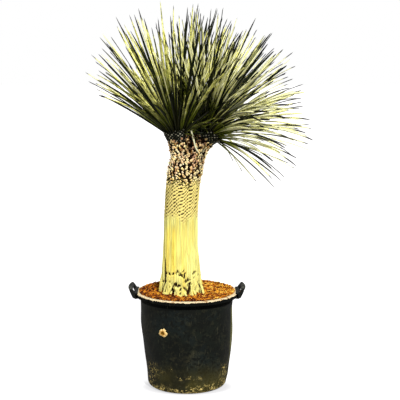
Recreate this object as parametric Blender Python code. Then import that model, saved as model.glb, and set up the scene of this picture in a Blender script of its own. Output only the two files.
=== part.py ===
"""Beaked yucca in a black nursery tub, at its real size.

A forked trunk carries two round crowns of stiff, narrow leaves. It stands in
a plastic tub with two clip-on handles, filled with potting soil under a layer
of bark chips. Metres, +Z up. The origin is the middle of the tub's base.
"""

import math
import random

import bmesh
import bpy
import numpy as np
from mathutils import Matrix, Vector

SEED = 41
GAP = 0.0003  # clearance between pieces that touch

# Tub: a tapered shell with a flanged rim, all radii to the outer face
SEGMENTS = 42
TUB_HEIGHT = 0.430
TUB_WALL = 0.0035
FLOOR = 0.004
BASE_RADIUS = 0.178
BASE_CORNER = 0.024
TOP_RADIUS = 0.2105
RIM_RADIUS = 0.230
RIM_LIP = 0.018
LIP_WALL = 0.0038
RIM_EDGE = 0.0015
DRAIN_HOLES = 6
DRAIN_RADIUS = 0.008
DRAIN_CIRCLE = 0.125

# Handles: a curled flap, flatter than the rim it clips round, two rim facets each side
HANDLE_HALF_STEPS = 2
HANDLE_FLATNESS = 0.8
HANDLE_TOP = 0.454
HANDLE_WALL = 0.0037
HANDLE_LEAN = 0.0165
HANDLE_LIP = 0.0125
LIP_TAPER = 0.5  # how much of the curl's reach is gone at the flap's ends
WEB_DEPTH = 0.021
WEB_FOOT = 0.005
CLIP_REACH = 0.011
WEB_STEPS = 0.16
GRIP_LOW = 0.4350
GRIP_HIGH = 0.4470
GRIP_STEPS = 1.35

# Soil and the bark layer on it
SOIL_TOP = 0.385
BARK_PLATEAU = 0.418
BARK_EDGE = 0.424
PLATEAU_RADIUS = 0.113
BARK_RINGS = (0.20, 0.42, 0.64, 0.84)
BARK_ROUGHNESS = 0.0055

# The plant stands a little off the tub's middle, its fork turned so that the left arm comes forward
PLANT_PLACE = (-0.025, 0.015)
PLANT_TURN = 22

# Trunk, measured from its own axis at the soil
STUB_RADIUS = 0.070
STUB_FOOT = 0.336
STEM_TILES = 21
TOES = 14
TOE_REACH = 0.015
TOE_DECAY = 0.032  # the toes' reach falls to a third over this height
RIB = 0.0014
SCAR_ZONE = 0.765
STUB_ZONE = 0.935
SCAR_RELIEF = 0.0028
STUB_RELIEF = 0.0085
RELIEF_SPREAD = (0.7, 1.25)
RIB_FADE = 0.08  # the ribs run out over this height below the scars
ARM_FADE = 0.02  # the arms' leaf bases run out over this length below the crowns
SCAR_POINT = 0.55  # how far up its upper half a scar is raised most
STEM_HALF_ROW = 0.0135
STEM_LINE = [
    # height, sideways drift, radius
    (0.336, 0.000, 0.088),
    (0.450, 0.000, 0.088),
    (0.490, 0.000, 0.0868),
    (0.534, -0.001, 0.0845),
    (0.575, -0.001, 0.0812),
    (0.634, -0.003, 0.0765),
    (0.698, -0.003, 0.0740),
    (0.770, -0.003, 0.0740),
    (0.840, 0.002, 0.0755),
    (0.930, 0.0115, 0.0755),
    (0.975, 0.020, 0.0725),
    (1.005, 0.027, 0.0680),
    (1.035, 0.032, 0.0550),
    (1.065, 0.036, 0.0450),
    (1.088, 0.040, 0.0260),
]
RIB_RINGS = (0.434, 0.456, 0.500, 0.580, 0.670)
ARM_TILES = 12
ARM_HALF_ROW = 0.0130
LEFT_ARM = [
    (0.900, 0.004, 0.0380),
    (0.960, 0.002, 0.0430),
    (1.010, 0.000, 0.0420),
    (1.045, -0.002, 0.0400),
    (1.075, -0.009, 0.0400),
    (1.105, -0.013, 0.0455),
]
RIGHT_ARM = [
    (0.900, 0.042, 0.034),
    (0.970, 0.054, 0.0400),
    (1.030, 0.065, 0.0425),
    (1.078, 0.081, 0.0460),
    (1.107, 0.1025, 0.0500),
]

# Crowns: a growing tip under each rosette, and the leaves that it bears
TIP_LINE = [(0.0, 1.00), (0.016, 1.14), (0.034, 1.28), (0.056, 1.26), (0.076, 0.98), (0.091, 0.50)]
TIP_TOP = 0.097
TIP_TILES = 12
COLLAR = 0.034
COLLAR_RELIEF = 0.0045
COLLAR_FADE = 0.01
LEAF_FOOT = 0.033
LEAF_CROWN = 0.090
LEAF_SUNK = 0.010
LEAF_WIDTHS = ((0.0, 0.0055), (0.70, 0.0112), (1.0, 0.0))
LEAF_KEEL = 0.0024
KEEL_TAPER = 0.35
LEAF_SIZES = (0.93, 1.02)
LEAF_ROLL = 0.35
AZIMUTH_JITTER = 0.06
POLAR_JITTER = 1.0
CLEAR_OF_OTHER_CROWN = 0.0065
# Leaf lengths by the sine of the leaf's angle above level
LEFT_LENGTHS = ((0.35, 0.320), (0.45, 0.355), (0.65, 0.435), (0.83, 0.530), (1.0, 0.520))
RIGHT_LENGTHS = ((-0.30, 0.330), (0.10, 0.420), (0.50, 0.440), (0.77, 0.510), (1.0, 0.500))
CROWNS = {
    "left_crown": {"leaves": 200, "spread": 52, "droop": 0.04, "lengths": LEFT_LENGTHS, "arm": LEFT_ARM},
    "right_crown": {"leaves": 218, "spread": 65, "droop": 0.08, "lengths": RIGHT_LENGTHS, "arm": RIGHT_ARM},
}
# The lowest leaves, fanned out under the right crown, with angles in degrees from its axis
DROOPING_LEAVES = 9
DROOPING_FAN = 150
DROOPING_ANGLE = 80
DROOPING_WAVE = 9
DROOPING_SHARE = 1.06
GOLDEN_ANGLE = math.pi * (3 - math.sqrt(5))
BENT_LEAF = [
    # x, y and z of the faded leaf that folds over and hangs at the fork
    (0.006, -0.010, 1.176),
    (0.012, -0.049, 1.180),
    (0.016, -0.062, 1.170),
    (0.036, -0.060, 1.112),
    (0.054, -0.058, 1.064),
    (0.068, -0.060, 1.046),
]
BENT_LEAF_WIDTHS = (0.010, 0.011, 0.012, 0.011, 0.010, 0.0)


# General tools


def plant_frame():
    return Matrix.Translation((*PLANT_PLACE, 0)) @ Matrix.Rotation(math.radians(PLANT_TURN), 4, "Z")


def clear_scene():
    for obj in list(bpy.data.objects):
        bpy.data.objects.remove(obj)


def material(name, colour, roughness):
    made = bpy.data.materials.new(name)
    made.use_nodes = True
    shader = made.node_tree.nodes["Principled BSDF"]
    shader.inputs["Base Color"].default_value = (*colour, 1.0)
    shader.inputs["Roughness"].default_value = roughness
    shader.inputs["Metallic"].default_value = 0.0
    return made


def add_object(name, mesh, finish=None, collection=None):
    obj = bpy.data.objects.new(name, mesh)
    (collection or bpy.context.scene.collection).objects.link(obj)
    if finish:
        mesh.materials.clear()
        mesh.materials.append(finish)
    return obj


def mesh_from(bm, name):
    bmesh.ops.recalc_face_normals(bm, faces=bm.faces)
    mesh = bpy.data.meshes.new(name)
    bm.to_mesh(mesh)
    bm.free()
    return mesh


def hide_cutter(obj):
    obj.hide_render = True
    obj.display_type = "WIRE"


def cut(obj, cutter):
    hide_cutter(cutter)
    modifier = obj.modifiers.new(cutter.name, "BOOLEAN")
    modifier.operation = "DIFFERENCE"
    modifier.solver = "EXACT"
    modifier.object = cutter


def apply_modifiers(obj):
    graph = bpy.context.evaluated_depsgraph_get()
    result = bpy.data.meshes.new_from_object(obj.evaluated_get(graph))
    obj.modifiers.clear()
    obj.data = result


def fuse(obj, pieces, solver):
    """Joins obj and every mesh in pieces into one body, and keeps only the result."""
    joined = bpy.data.collections.new(obj.name + "_pieces")
    bpy.context.scene.collection.children.link(joined)
    for number, mesh in enumerate(pieces):
        add_object(f"{obj.name}_piece_{number}", mesh, collection=joined)
    modifier = obj.modifiers.new("join", "BOOLEAN")
    modifier.operation = "UNION"
    modifier.solver = solver
    modifier.operand_type = "COLLECTION"
    modifier.collection = joined
    apply_modifiers(obj)
    for piece in list(joined.objects):
        bpy.data.objects.remove(piece)
    bpy.data.collections.remove(joined)


def shade(obj, degrees=35):
    obj.data.shade_smooth()
    obj.data.set_sharp_from_angle(angle=math.radians(degrees))


def turned(profile, name):
    """A profile of (radius, height) spun round Z, its ends on the axis."""
    bm = bmesh.new()
    points = [bm.verts.new((radius, 0, height)) for radius, height in profile]
    edges = [bm.edges.new(pair) for pair in zip(points, points[1:])]
    bmesh.ops.spin(
        bm,
        geom=points + edges,
        cent=(0, 0, 0),
        axis=(0, 0, 1),
        angle=math.tau,
        steps=SEGMENTS,
        use_merge=True,
    )
    bmesh.ops.remove_doubles(bm, verts=bm.verts, dist=1e-6)
    return mesh_from(bm, name)


def ring_points(radius, height, centre=(0.0, 0.0), count=SEGMENTS):
    middle = Vector((*centre, height))
    turns = [math.tau * k / count for k in range(count)]
    return [middle + Vector((radius * math.cos(turn), radius * math.sin(turn), 0)) for turn in turns]


def closed_band(rings, name):
    """Rings of as many points each, joined one to the next and the last to the first."""
    bm = bmesh.new()
    loops = [[bm.verts.new(point) for point in ring] for ring in rings]
    for lower, upper in zip(loops, loops[1:] + loops[:1]):
        for k in range(len(lower)):
            following = (k + 1) % len(lower)
            bm.faces.new((lower[k], lower[following], upper[following], upper[k]))
    return mesh_from(bm, name)


# Tub


def wall_radius(height):
    """The tub's outer radius on its straight, tapered side."""
    share = (height - BASE_CORNER) / (TUB_HEIGHT - BASE_CORNER)
    return BASE_RADIUS + share * (TOP_RADIUS - BASE_RADIUS)


def corner_arc(inset, steps=3):
    """The rounded corner between floor and side, moved inwards by inset."""
    radius = BASE_CORNER - inset
    centre = (BASE_RADIUS - BASE_CORNER, BASE_CORNER)
    angles = [math.pi / 2 * k / steps for k in range(steps + 1)]
    return [(centre[0] + radius * math.sin(a), centre[1] - radius * math.cos(a)) for a in angles]


def tub_profile():
    outside = [(0.0, 0.0)] + corner_arc(0.0)
    under_rim = TUB_HEIGHT - TUB_WALL
    lip_inside = RIM_RADIUS - LIP_WALL
    lip_foot = TUB_HEIGHT - RIM_LIP
    rim = [
        (wall_radius(under_rim), under_rim),
        (lip_inside, under_rim),
        (lip_inside, lip_foot),
        (RIM_RADIUS, lip_foot),
        (RIM_RADIUS, TUB_HEIGHT - RIM_EDGE),
        (RIM_RADIUS - RIM_EDGE, TUB_HEIGHT),
        (wall_radius(TUB_HEIGHT) - TUB_WALL, TUB_HEIGHT),
    ]
    inside = corner_arc(TUB_WALL)[::-1]
    return outside + rim + inside[:-1] + [(inside[-1][0], FLOOR), (0.0, FLOOR)]


def make_tub(finish):
    tub = add_object("tub", turned(tub_profile(), "tub"), finish)
    bm = bmesh.new()
    for k in range(DRAIN_HOLES):
        turn = math.tau * (k + 0.5) / DRAIN_HOLES
        place = Matrix.Translation((DRAIN_CIRCLE * math.cos(turn), DRAIN_CIRCLE * math.sin(turn), 0))
        bmesh.ops.create_cone(
            bm,
            cap_ends=True,
            segments=10,
            radius1=DRAIN_RADIUS,
            radius2=DRAIN_RADIUS,
            depth=4 * FLOOR,
            matrix=place,
        )
    cut(tub, add_object("drain_cutter", mesh_from(bm, "drain_cutter")))
    shade(tub)
    return tub


# Handles


def turn_of(step):
    """The angle of a step round the rim, counted in rim facets."""
    return math.tau * step / SEGMENTS


def stand_off(step):
    """How far the flap stands outside the rim's curve, because it is nearly straight."""
    return HANDLE_FLATNESS * RIM_RADIUS * (1 / math.cos(turn_of(step)) - 1)


def handle_section(step):
    """The flap's section: a clip round the rim, a leaning plate and an outward curl."""
    clip = RIM_RADIUS + GAP / math.cos(math.pi / SEGMENTS) - CLIP_REACH
    inner = clip + CLIP_REACH + stand_off(step)
    outer = inner + HANDLE_WALL
    toe = TUB_HEIGHT - RIM_LIP - GAP
    ledge = TUB_HEIGHT + GAP
    curl = HANDLE_TOP - HANDLE_WALL
    lip = HANDLE_LIP * (1 - LIP_TAPER * (step / HANDLE_HALF_STEPS) ** 2)
    return [
        (clip, toe - HANDLE_WALL),
        (outer, toe - HANDLE_WALL),
        (outer, ledge + HANDLE_WALL / 2),
        (outer + HANDLE_LEAN * 0.9, curl - 0.001),
        (outer + HANDLE_LEAN + lip * 0.6, curl + 0.001),
        (outer + HANDLE_LEAN + lip, curl - 0.002),
        (outer + HANDLE_LEAN + lip, curl + 0.0025),
        (outer + HANDLE_LEAN + lip * 0.6, HANDLE_TOP),
        (inner + HANDLE_LEAN, HANDLE_TOP),
        (inner, ledge + HANDLE_WALL),
        (clip, ledge + HANDLE_WALL),
        (clip, ledge),
        (inner, ledge),
        (inner, toe),
        (clip, toe),
    ]


def web_section(step):
    """The stiffening web at each end: slim at its foot, deepest at half height, and under the curl."""
    outer = RIM_RADIUS + GAP + HANDLE_WALL - 0.001 + stand_off(step)
    toe = TUB_HEIGHT - RIM_LIP
    return [
        (outer, toe - 0.002),
        (outer + WEB_FOOT, toe + 0.001),
        (outer + WEB_DEPTH, TUB_HEIGHT + 0.008),
        (outer + WEB_FOOT + HANDLE_LEAN, HANDLE_TOP - HANDLE_WALL + 0.001),
        (outer + HANDLE_LEAN, HANDLE_TOP - 0.001),
        (outer, TUB_HEIGHT),
    ]


def grip_section(step):
    """The slot for the fingers, cut straight through the leaning plate."""
    middle = RIM_RADIUS + stand_off(step)
    corners = ((-0.03, GRIP_LOW), (0.06, GRIP_LOW), (0.06, GRIP_HIGH), (-0.03, GRIP_HIGH))
    return [(middle + out, height) for out, height in corners]


def swept(section, steps, name):
    """A section of (radius, height), which may change with the step, carried round the rim."""
    bm = bmesh.new()
    loops = []
    for step in steps:
        turn = turn_of(step)
        loops.append([bm.verts.new((r * math.cos(turn), r * math.sin(turn), z)) for r, z in section(step)])
    for near, far in zip(loops, loops[1:]):
        for k in range(len(near)):
            following = (k + 1) % len(near)
            bm.faces.new((near[k], near[following], far[following], far[k]))
    bm.faces.new(loops[0])
    bm.faces.new(loops[-1])
    return mesh_from(bm, name)


def make_handles(finish):
    span = HANDLE_HALF_STEPS
    right = add_object("right_handle", swept(handle_section, range(-span, span + 1), "handle"), finish)
    webs = []
    for side in (-1, 1):
        ends = (side * (span - 0.002), side * (span - WEB_STEPS))
        webs.append(swept(web_section, ends, "web"))
    fuse(right, webs, "EXACT")
    slot = swept(grip_section, (-GRIP_STEPS, -1, 0, 1, GRIP_STEPS), "grip_cutter")
    cutter = add_object("grip_cutter", slot)
    cut(right, cutter)
    apply_modifiers(right)
    bpy.data.objects.remove(cutter)
    shade(right)
    left = add_object("left_handle", right.data)
    left.rotation_euler.z = math.pi


# Soil and bark


def inner_radius(height):
    return wall_radius(height) - TUB_WALL - GAP / math.cos(math.pi / SEGMENTS)


def hole_radius():
    return STUB_RADIUS + GAP / math.cos(math.pi / SEGMENTS)


def make_soil(finish):
    corner = [(r, max(z, FLOOR + GAP)) for r, z in corner_arc(TUB_WALL + GAP)]
    profile = [(0.0, FLOOR + GAP)] + corner + [(inner_radius(SOIL_TOP), SOIL_TOP), (0.0, SOIL_TOP)]
    soil = add_object("potting_soil", turned(profile, "potting_soil"), finish)
    depth = SOIL_TOP - STUB_FOOT + GAP
    rings = [ring_points(hole_radius(), SOIL_TOP + offset, PLANT_PLACE) for offset in (-depth, depth)]
    bm = bmesh.new()
    loops = [[bm.verts.new(point) for point in ring] for ring in rings]
    for k in range(SEGMENTS):
        following = (k + 1) % SEGMENTS
        bm.faces.new((loops[0][k], loops[0][following], loops[1][following], loops[1][k]))
    bm.faces.new(loops[0])
    bm.faces.new(loops[1])
    cut(soil, add_object("stub_cutter", mesh_from(bm, "stub_cutter")))
    return soil


def make_bark(finish):
    """The top layer: level round the trunk, and lumpy from there to the tub's wall."""
    rng = random.Random(SEED)
    foot = SOIL_TOP + GAP
    edge = ring_points(inner_radius(BARK_EDGE), BARK_EDGE)
    plateau = ring_points(PLATEAU_RADIUS, BARK_PLATEAU, PLANT_PLACE)
    lumpy = []
    for share in BARK_RINGS:
        ring = [inner.lerp(outer, share) for inner, outer in zip(plateau, edge)]
        for point in ring:
            point.z += rng.uniform(-0.4, 1.0) * BARK_ROUGHNESS
        lumpy.append(ring)
    rings = [
        ring_points(hole_radius(), foot, PLANT_PLACE),
        ring_points(inner_radius(foot), foot),
        edge,
        *lumpy[::-1],
        plateau,
        ring_points(hole_radius(), BARK_PLATEAU, PLANT_PLACE),
    ]
    return add_object("bark_mulch", closed_band(rings, "bark_mulch"), finish)


# Trunk


class Tube:
    """A round stem whose axis runs in the XZ plane. A station is a distance along the axis."""

    def __init__(self, line):
        heights, drifts, radii = (np.array(column) for column in zip(*line))
        self.axis = np.stack([drifts, heights], axis=1)
        steps = np.linalg.norm(np.diff(self.axis, axis=0), axis=1)
        self.stations = np.concatenate([[0.0], np.cumsum(steps)])
        self.radii = radii
        self.length = float(self.stations[-1])

    def centre(self, station):
        x, z = (float(np.interp(station, self.stations, self.axis[:, k])) for k in (0, 1))
        return Vector((x, 0, z))

    def tangent(self, station):
        reach = 0.004
        low = max(0.0, station - reach)
        high = min(self.length, station + reach)
        return (self.centre(high) - self.centre(low)).normalized()

    def point(self, station, turn, out=0.0):
        """The surface point at a turn of 0 to 1, raised by out."""
        along = self.tangent(station)
        side = Vector((along.z, 0, -along.x))
        radius = float(np.interp(station, self.stations, self.radii)) + out
        angle = math.tau * turn
        back = Vector((0, 1, 0))
        return self.centre(station) + radius * (side * math.cos(angle) + back * math.sin(angle))

    def station_at(self, height):
        return float(np.interp(height, self.axis[:, 1], self.stations))


def stitch(bm, lower, upper):
    """Triangles between two rings of (turn, vertex), which may differ in number and phase."""
    i = j = 0
    while i < len(lower) or j < len(upper):
        lower_next = lower[(i + 1) % len(lower)][0] + (i + 1) // len(lower)
        upper_next = upper[(j + 1) % len(upper)][0] + (j + 1) // len(upper)
        low = lower[i % len(lower)][1]
        high = upper[j % len(upper)][1]
        if j >= len(upper) or (i < len(lower) and lower_next <= upper_next):
            bm.faces.new((low, lower[(i + 1) % len(lower)][1], high))
            i += 1
        else:
            bm.faces.new((low, upper[(j + 1) % len(upper)][1], high))
            j += 1


def tiled_rings(bm, tube, stations, tiles, relief, rng):
    """Rows of diamond scars or leaf bases, each raised to a point near its upper corner.

    Neighbouring rings are turned by half a tile, so that four points of three rings bound a diamond.
    """
    rings = []
    for row, station in enumerate(stations):
        phase = 0.5 * (row % 2) / tiles
        turns = [phase + k / tiles for k in range(tiles)]
        rings.append([(turn, bm.verts.new(tube.point(station, turn))) for turn in turns])
    for row in range(1, len(rings) - 1):
        shift = row % 2
        for k in range(tiles):
            left, right = rings[row][k], rings[row][(k + 1) % tiles]
            below = rings[row - 1][(k + shift) % tiles] if shift else rings[row - 1][k]
            above = rings[row + 1][(k + shift) % tiles] if shift else rings[row + 1][k]
            middle = left[0] + 0.5 / tiles
            station = stations[row] + SCAR_POINT * (stations[row + 1] - stations[row])
            raised = relief(stations[row]) * rng.uniform(*RELIEF_SPREAD)
            tip = bm.verts.new(tube.point(station, middle, raised))
            corners = [below[1], right[1], above[1], left[1]]
            for first, second in zip(corners, corners[1:] + corners[:1]):
                bm.faces.new((first, second, tip))
    for edge, row in ((rings[0], 0), (rings[-1], len(rings) - 1)):
        other = rings[1] if row == 0 else rings[-2]
        shift = row % 2
        for k in range(tiles):
            point = other[(k + shift) % tiles] if shift else other[k]
            bm.faces.new((edge[k][1], edge[(k + 1) % tiles][1], point[1]))
    return rings


def close(bm, ring):
    bm.faces.new([vertex for _, vertex in ring])


def stem_relief(station):
    height = STEM_LINE[0][0] + station
    return SCAR_RELIEF if height < STUB_ZONE else STUB_RELIEF


def stem_mesh(rng):
    """The main stem: buried stub, spreading toes, ribbed lower trunk and scarred upper trunk."""
    tube = Tube(STEM_LINE)
    columns = 2 * STEM_TILES
    bm = bmesh.new()
    turns = [k / columns for k in range(columns)]
    toe_sizes = [rng.uniform(0.75, 1.2) if k % (columns // TOES) == 0 else 0.0 for k in range(columns)]
    rib_sizes = [(-1) ** k + rng.uniform(-0.6, 0.6) for k in range(columns)]

    def ribbed_ring(height):
        station = tube.station_at(height)
        spread = math.exp(-(height - BARK_PLATEAU) / TOE_DECAY)
        fade = min(1.0, (SCAR_ZONE - height) / RIB_FADE)
        ring = []
        for k, turn in enumerate(turns):
            out = TOE_REACH * toe_sizes[k] * spread + RIB * rib_sizes[k] * fade
            ring.append((turn, bm.verts.new(tube.point(station, turn, out))))
        return ring

    def stub_ring(height):
        points = ring_points(STUB_RADIUS, height)
        return [(turn, bm.verts.new(point)) for turn, point in zip(turns, points)]

    on_bark = BARK_PLATEAU + GAP
    foot = stub_ring(STUB_FOOT)
    rings = [foot, stub_ring(on_bark)] + [ribbed_ring(height) for height in (on_bark, *RIB_RINGS)]
    for lower, upper in zip(rings, rings[1:]):
        stitch(bm, lower, upper)
    close(bm, foot)
    first = tube.station_at(SCAR_ZONE)
    rows = round((tube.length - first) / STEM_HALF_ROW)
    stations = [first + (tube.length - first) * k / rows for k in range(rows + 1)]
    tiles = tiled_rings(bm, tube, stations, STEM_TILES, stem_relief, rng)
    stitch(bm, rings[-1], tiles[0])
    close(bm, tiles[-1])
    return mesh_from(bm, "stem")


def arm_mesh(line, rng):
    tube = Tube(line)
    bm = bmesh.new()
    rows = round(tube.length / ARM_HALF_ROW)
    stations = [tube.length * k / rows for k in range(rows + 1)]

    def relief(station):
        return STUB_RELIEF * min(1.0, (tube.length - station) / ARM_FADE)

    rings = tiled_rings(bm, tube, stations, ARM_TILES, relief, rng)
    close(bm, rings[0])
    close(bm, rings[-1])
    return mesh_from(bm, "arm")


def make_trunk(finish):
    rng = random.Random(SEED + 1)
    trunk = add_object("trunk", stem_mesh(rng), finish)
    fuse(trunk, [arm_mesh(LEFT_ARM, rng), arm_mesh(RIGHT_ARM, rng)], "MANIFOLD")
    trunk.matrix_world = plant_frame()
    shade(trunk, 25)
    return trunk


# Crowns


def crown_frame(arm):
    """World matrix of a crown: origin at the end of its arm, +Z along the arm."""
    tube = Tube(arm)
    along = tube.tangent(tube.length)
    tilt = math.atan2(along.x, along.z)
    seat = tube.centre(tube.length) + along * GAP
    return plant_frame() @ Matrix.Translation(seat) @ Matrix.Rotation(tilt, 4, "Y"), arm[-1][2]


def tip_tube(arm_radius):
    return Tube([(height, 0.0, arm_radius * share) for height, share in TIP_LINE])


def tip_mesh(arm_radius, rng):
    """The growing tip: a collar of old leaf bases, and a dome under the leaves."""
    tube = tip_tube(arm_radius)
    bm = bmesh.new()
    rows = 5
    stations = [COLLAR * k / rows for k in range(rows + 1)]

    def relief(station):
        return COLLAR_RELIEF * min(1.0, station / COLLAR_FADE)

    rings = tiled_rings(bm, tube, stations, TIP_TILES, relief, rng)
    close(bm, rings[0])
    last = rings[-1]
    for height, _ in TIP_LINE[3:]:
        ring = [(turn, bm.verts.new(tube.point(height, turn))) for turn, _ in last]
        stitch(bm, last, ring)
        last = ring
    top = bm.verts.new((0, 0, TIP_TOP))
    for k in range(TIP_TILES):
        bm.faces.new((last[k][1], last[(k + 1) % TIP_TILES][1], top))
    return mesh_from(bm, "tip")


def blade_mesh(points, widths, keel, facing, roll):
    """A stiff three-sided blade, keeled underneath, from a blunt root to a sharp tip."""
    bm = bmesh.new()
    sections = []
    for k, point in enumerate(points[:-1]):
        before = points[max(0, k - 1)]
        along = (points[k + 1] - before).normalized()
        upper = (facing - along * facing.dot(along)).normalized()
        upper = Matrix.Rotation(roll, 3, along) @ upper
        side = along.cross(upper)
        half = widths[k] / 2
        depth = keel * (1.0 - KEEL_TAPER * k / len(points))
        corners = (point + side * half, point - side * half, point - upper * depth)
        sections.append([bm.verts.new(corner) for corner in corners])
    for lower, upper in zip(sections, sections[1:]):
        for k in range(3):
            following = (k + 1) % 3
            bm.faces.new((lower[k], lower[following], upper[following]))
            bm.faces.new((lower[k], upper[following], upper[k]))
    tip = bm.verts.new(points[-1])
    for k in range(3):
        bm.faces.new((sections[-1][k], sections[-1][(k + 1) % 3], tip))
    bm.faces.new(sections[0])
    return mesh_from(bm, "blade")


def leaf_points(root, direction, length, droop, up):
    """Points along a leaf that leaves root in direction and sags away from up, most where it is level."""
    level = 1.0 - direction.dot(up) ** 2
    points = []
    for share, _ in LEAF_WIDTHS:
        sag = up * (-droop * level * length * share**2)
        points.append(root + direction * (length * share) + sag)
    return points


def make_crown(name, finish, room):
    """A rosette: leaves set on the tip by the golden angle, opening from its axis to its spread.

    On the side of the other crown it opens only so far that its widest leaves stay clear of it.
    """
    settings = CROWNS[name]
    rng = random.Random(SEED + len(name))
    frame, arm_radius = crown_frame(settings["arm"])
    to_local = frame.inverted()
    up = (to_local.to_3x3() @ Vector((0, 0, 1))).normalized()
    tube = tip_tube(arm_radius)
    crown = add_object(name, tip_mesh(arm_radius, rng), finish)
    spread = math.radians(settings["spread"])

    def line(share, polar, azimuth, size=1.0):
        outward = Vector((math.cos(azimuth), math.sin(azimuth), 0))
        direction = outward * math.sin(polar) + Vector((0, 0, math.cos(polar)))
        height = LEAF_CROWN - (LEAF_CROWN - LEAF_FOOT) * share**0.8
        radius = float(np.interp(height, tube.stations, tube.radii)) - LEAF_SUNK
        root = outward * radius + Vector((0, 0, height)) - direction * LEAF_SUNK
        length = size * float(np.interp(direction.dot(up), *zip(*settings["lengths"])))
        return leaf_points(root, direction, length, settings["droop"], up)

    def is_clear(points):
        return min(room(frame @ point) for point in points) > CLEAR_OF_OTHER_CROWN

    def opening(azimuth):
        """How far the rosette opens on this side, as a share of its spread."""
        opened = spread
        while not is_clear(line(0.7, opened, azimuth)):
            opened -= math.radians(1)
        return opened / spread

    shapes = []
    widths = [width for _, width in LEAF_WIDTHS]
    for k in range(settings["leaves"]):
        share = (k + 0.5) / settings["leaves"]
        azimuth = GOLDEN_ANGLE * k + rng.uniform(-AZIMUTH_JITTER, AZIMUTH_JITTER)
        polar = math.acos(1 - share * (1 - math.cos(spread)))
        polar += math.radians(rng.uniform(-POLAR_JITTER, POLAR_JITTER))
        points = line(share, polar * opening(azimuth), azimuth, rng.uniform(*LEAF_SIZES))
        if is_clear(points):
            roll = rng.uniform(-LEAF_ROLL, LEAF_ROLL)
            shapes.append(blade_mesh(points, widths, LEAF_KEEL, Vector((0, 0, 1)), roll))
    if name == "right_crown":
        for k in range(DROOPING_LEAVES):
            azimuth = math.radians(DROOPING_FAN) * ((k + 0.5) / DROOPING_LEAVES - 0.5)
            polar = math.radians(DROOPING_ANGLE + DROOPING_WAVE * math.cos(k * 2.4))
            points = line(DROOPING_SHARE, polar, azimuth)
            shapes.append(blade_mesh(points, widths, LEAF_KEEL, Vector((0, 0, 1)), 0.0))
    if name == "left_crown":
        hanging = [to_local @ plant_frame() @ Vector(point) for point in BENT_LEAF]
        shapes.append(blade_mesh(hanging, BENT_LEAF_WIDTHS, LEAF_KEEL, Vector((0, -1, 1)), 0.0))
    fuse(crown, shapes, "MANIFOLD")
    crown.matrix_world = frame
    shade(crown, 30)


def make_crowns(finish):
    middles = []
    for name in ("left_crown", "right_crown"):
        frame, _ = crown_frame(CROWNS[name]["arm"])
        middles.append(frame @ Vector((0, 0, COLLAR)))
    middle = (middles[0] + middles[1]) / 2
    normal = (middles[1] - middles[0]).normalized()

    make_crown("left_crown", finish, lambda point: (middle - point).dot(normal))
    make_crown("right_crown", finish, lambda point: (point - middle).dot(normal))


def main():
    clear_scene()
    black = material("black_plastic", (0.02, 0.022, 0.021), 0.5)
    make_tub(black)
    make_handles(material("handle_plastic", (0.014, 0.015, 0.014), 0.45))
    make_soil(material("potting_soil", (0.06, 0.035, 0.02), 0.95))
    make_bark(material("bark_chips", (0.42, 0.17, 0.05), 0.9))
    make_trunk(material("fibrous_trunk", (0.72, 0.58, 0.28), 0.85))
    make_crowns(material("leaf", (0.16, 0.19, 0.06), 0.5))


main()
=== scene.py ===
"""Potted beaked yucca: the looks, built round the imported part.

Metres, +Z up, +Y away from the viewer. Every shape is a grid of points worked out with numpy.
An angle called a bearing is measured in degrees from the front, which is -Y, towards +X.
"""

import math

import bpy
import numpy as np
from bpy.props import FloatProperty, FloatVectorProperty, IntProperty, PointerProperty
from mathutils import Matrix, Vector


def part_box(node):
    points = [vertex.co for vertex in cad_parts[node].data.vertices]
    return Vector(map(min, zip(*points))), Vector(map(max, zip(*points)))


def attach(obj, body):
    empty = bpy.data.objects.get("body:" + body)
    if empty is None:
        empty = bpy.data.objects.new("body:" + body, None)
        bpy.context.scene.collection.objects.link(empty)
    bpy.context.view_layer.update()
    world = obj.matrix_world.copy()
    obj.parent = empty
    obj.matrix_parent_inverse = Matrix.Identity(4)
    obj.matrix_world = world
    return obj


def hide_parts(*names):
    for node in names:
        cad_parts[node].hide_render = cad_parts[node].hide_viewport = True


bl_info = {
    "name": "Potted Beaked Yucca",
    "version": (1, 0, 0),
    "blender": (4, 5, 0),
    "location": "3D View > Sidebar > Yucca",
    "description": "Tub, bark, trunk and leaf crowns of a potted beaked yucca",
    "category": "Add Mesh",
}

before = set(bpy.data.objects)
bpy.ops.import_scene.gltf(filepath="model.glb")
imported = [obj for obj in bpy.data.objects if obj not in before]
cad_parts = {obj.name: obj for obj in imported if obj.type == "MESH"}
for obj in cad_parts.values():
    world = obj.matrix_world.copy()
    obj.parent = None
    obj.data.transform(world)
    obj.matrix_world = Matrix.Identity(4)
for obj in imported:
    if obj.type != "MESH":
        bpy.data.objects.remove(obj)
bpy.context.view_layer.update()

# Seeds of the random draws
SEEDS = {
    "tub": 11,
    "bark_bed": 5,
    "bark_chips": 17,
    "stem": 23,
    "left_arm": 31,
    "right_arm": 32,
    "roots": 43,
    "cut_bases": 53,
    "left_collar": 71,
    "right_collar": 73,
    "left_leaves": 61,
    "right_leaves": 67,
}
UP = np.array([0.0, 0.0, 1.0])

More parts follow.
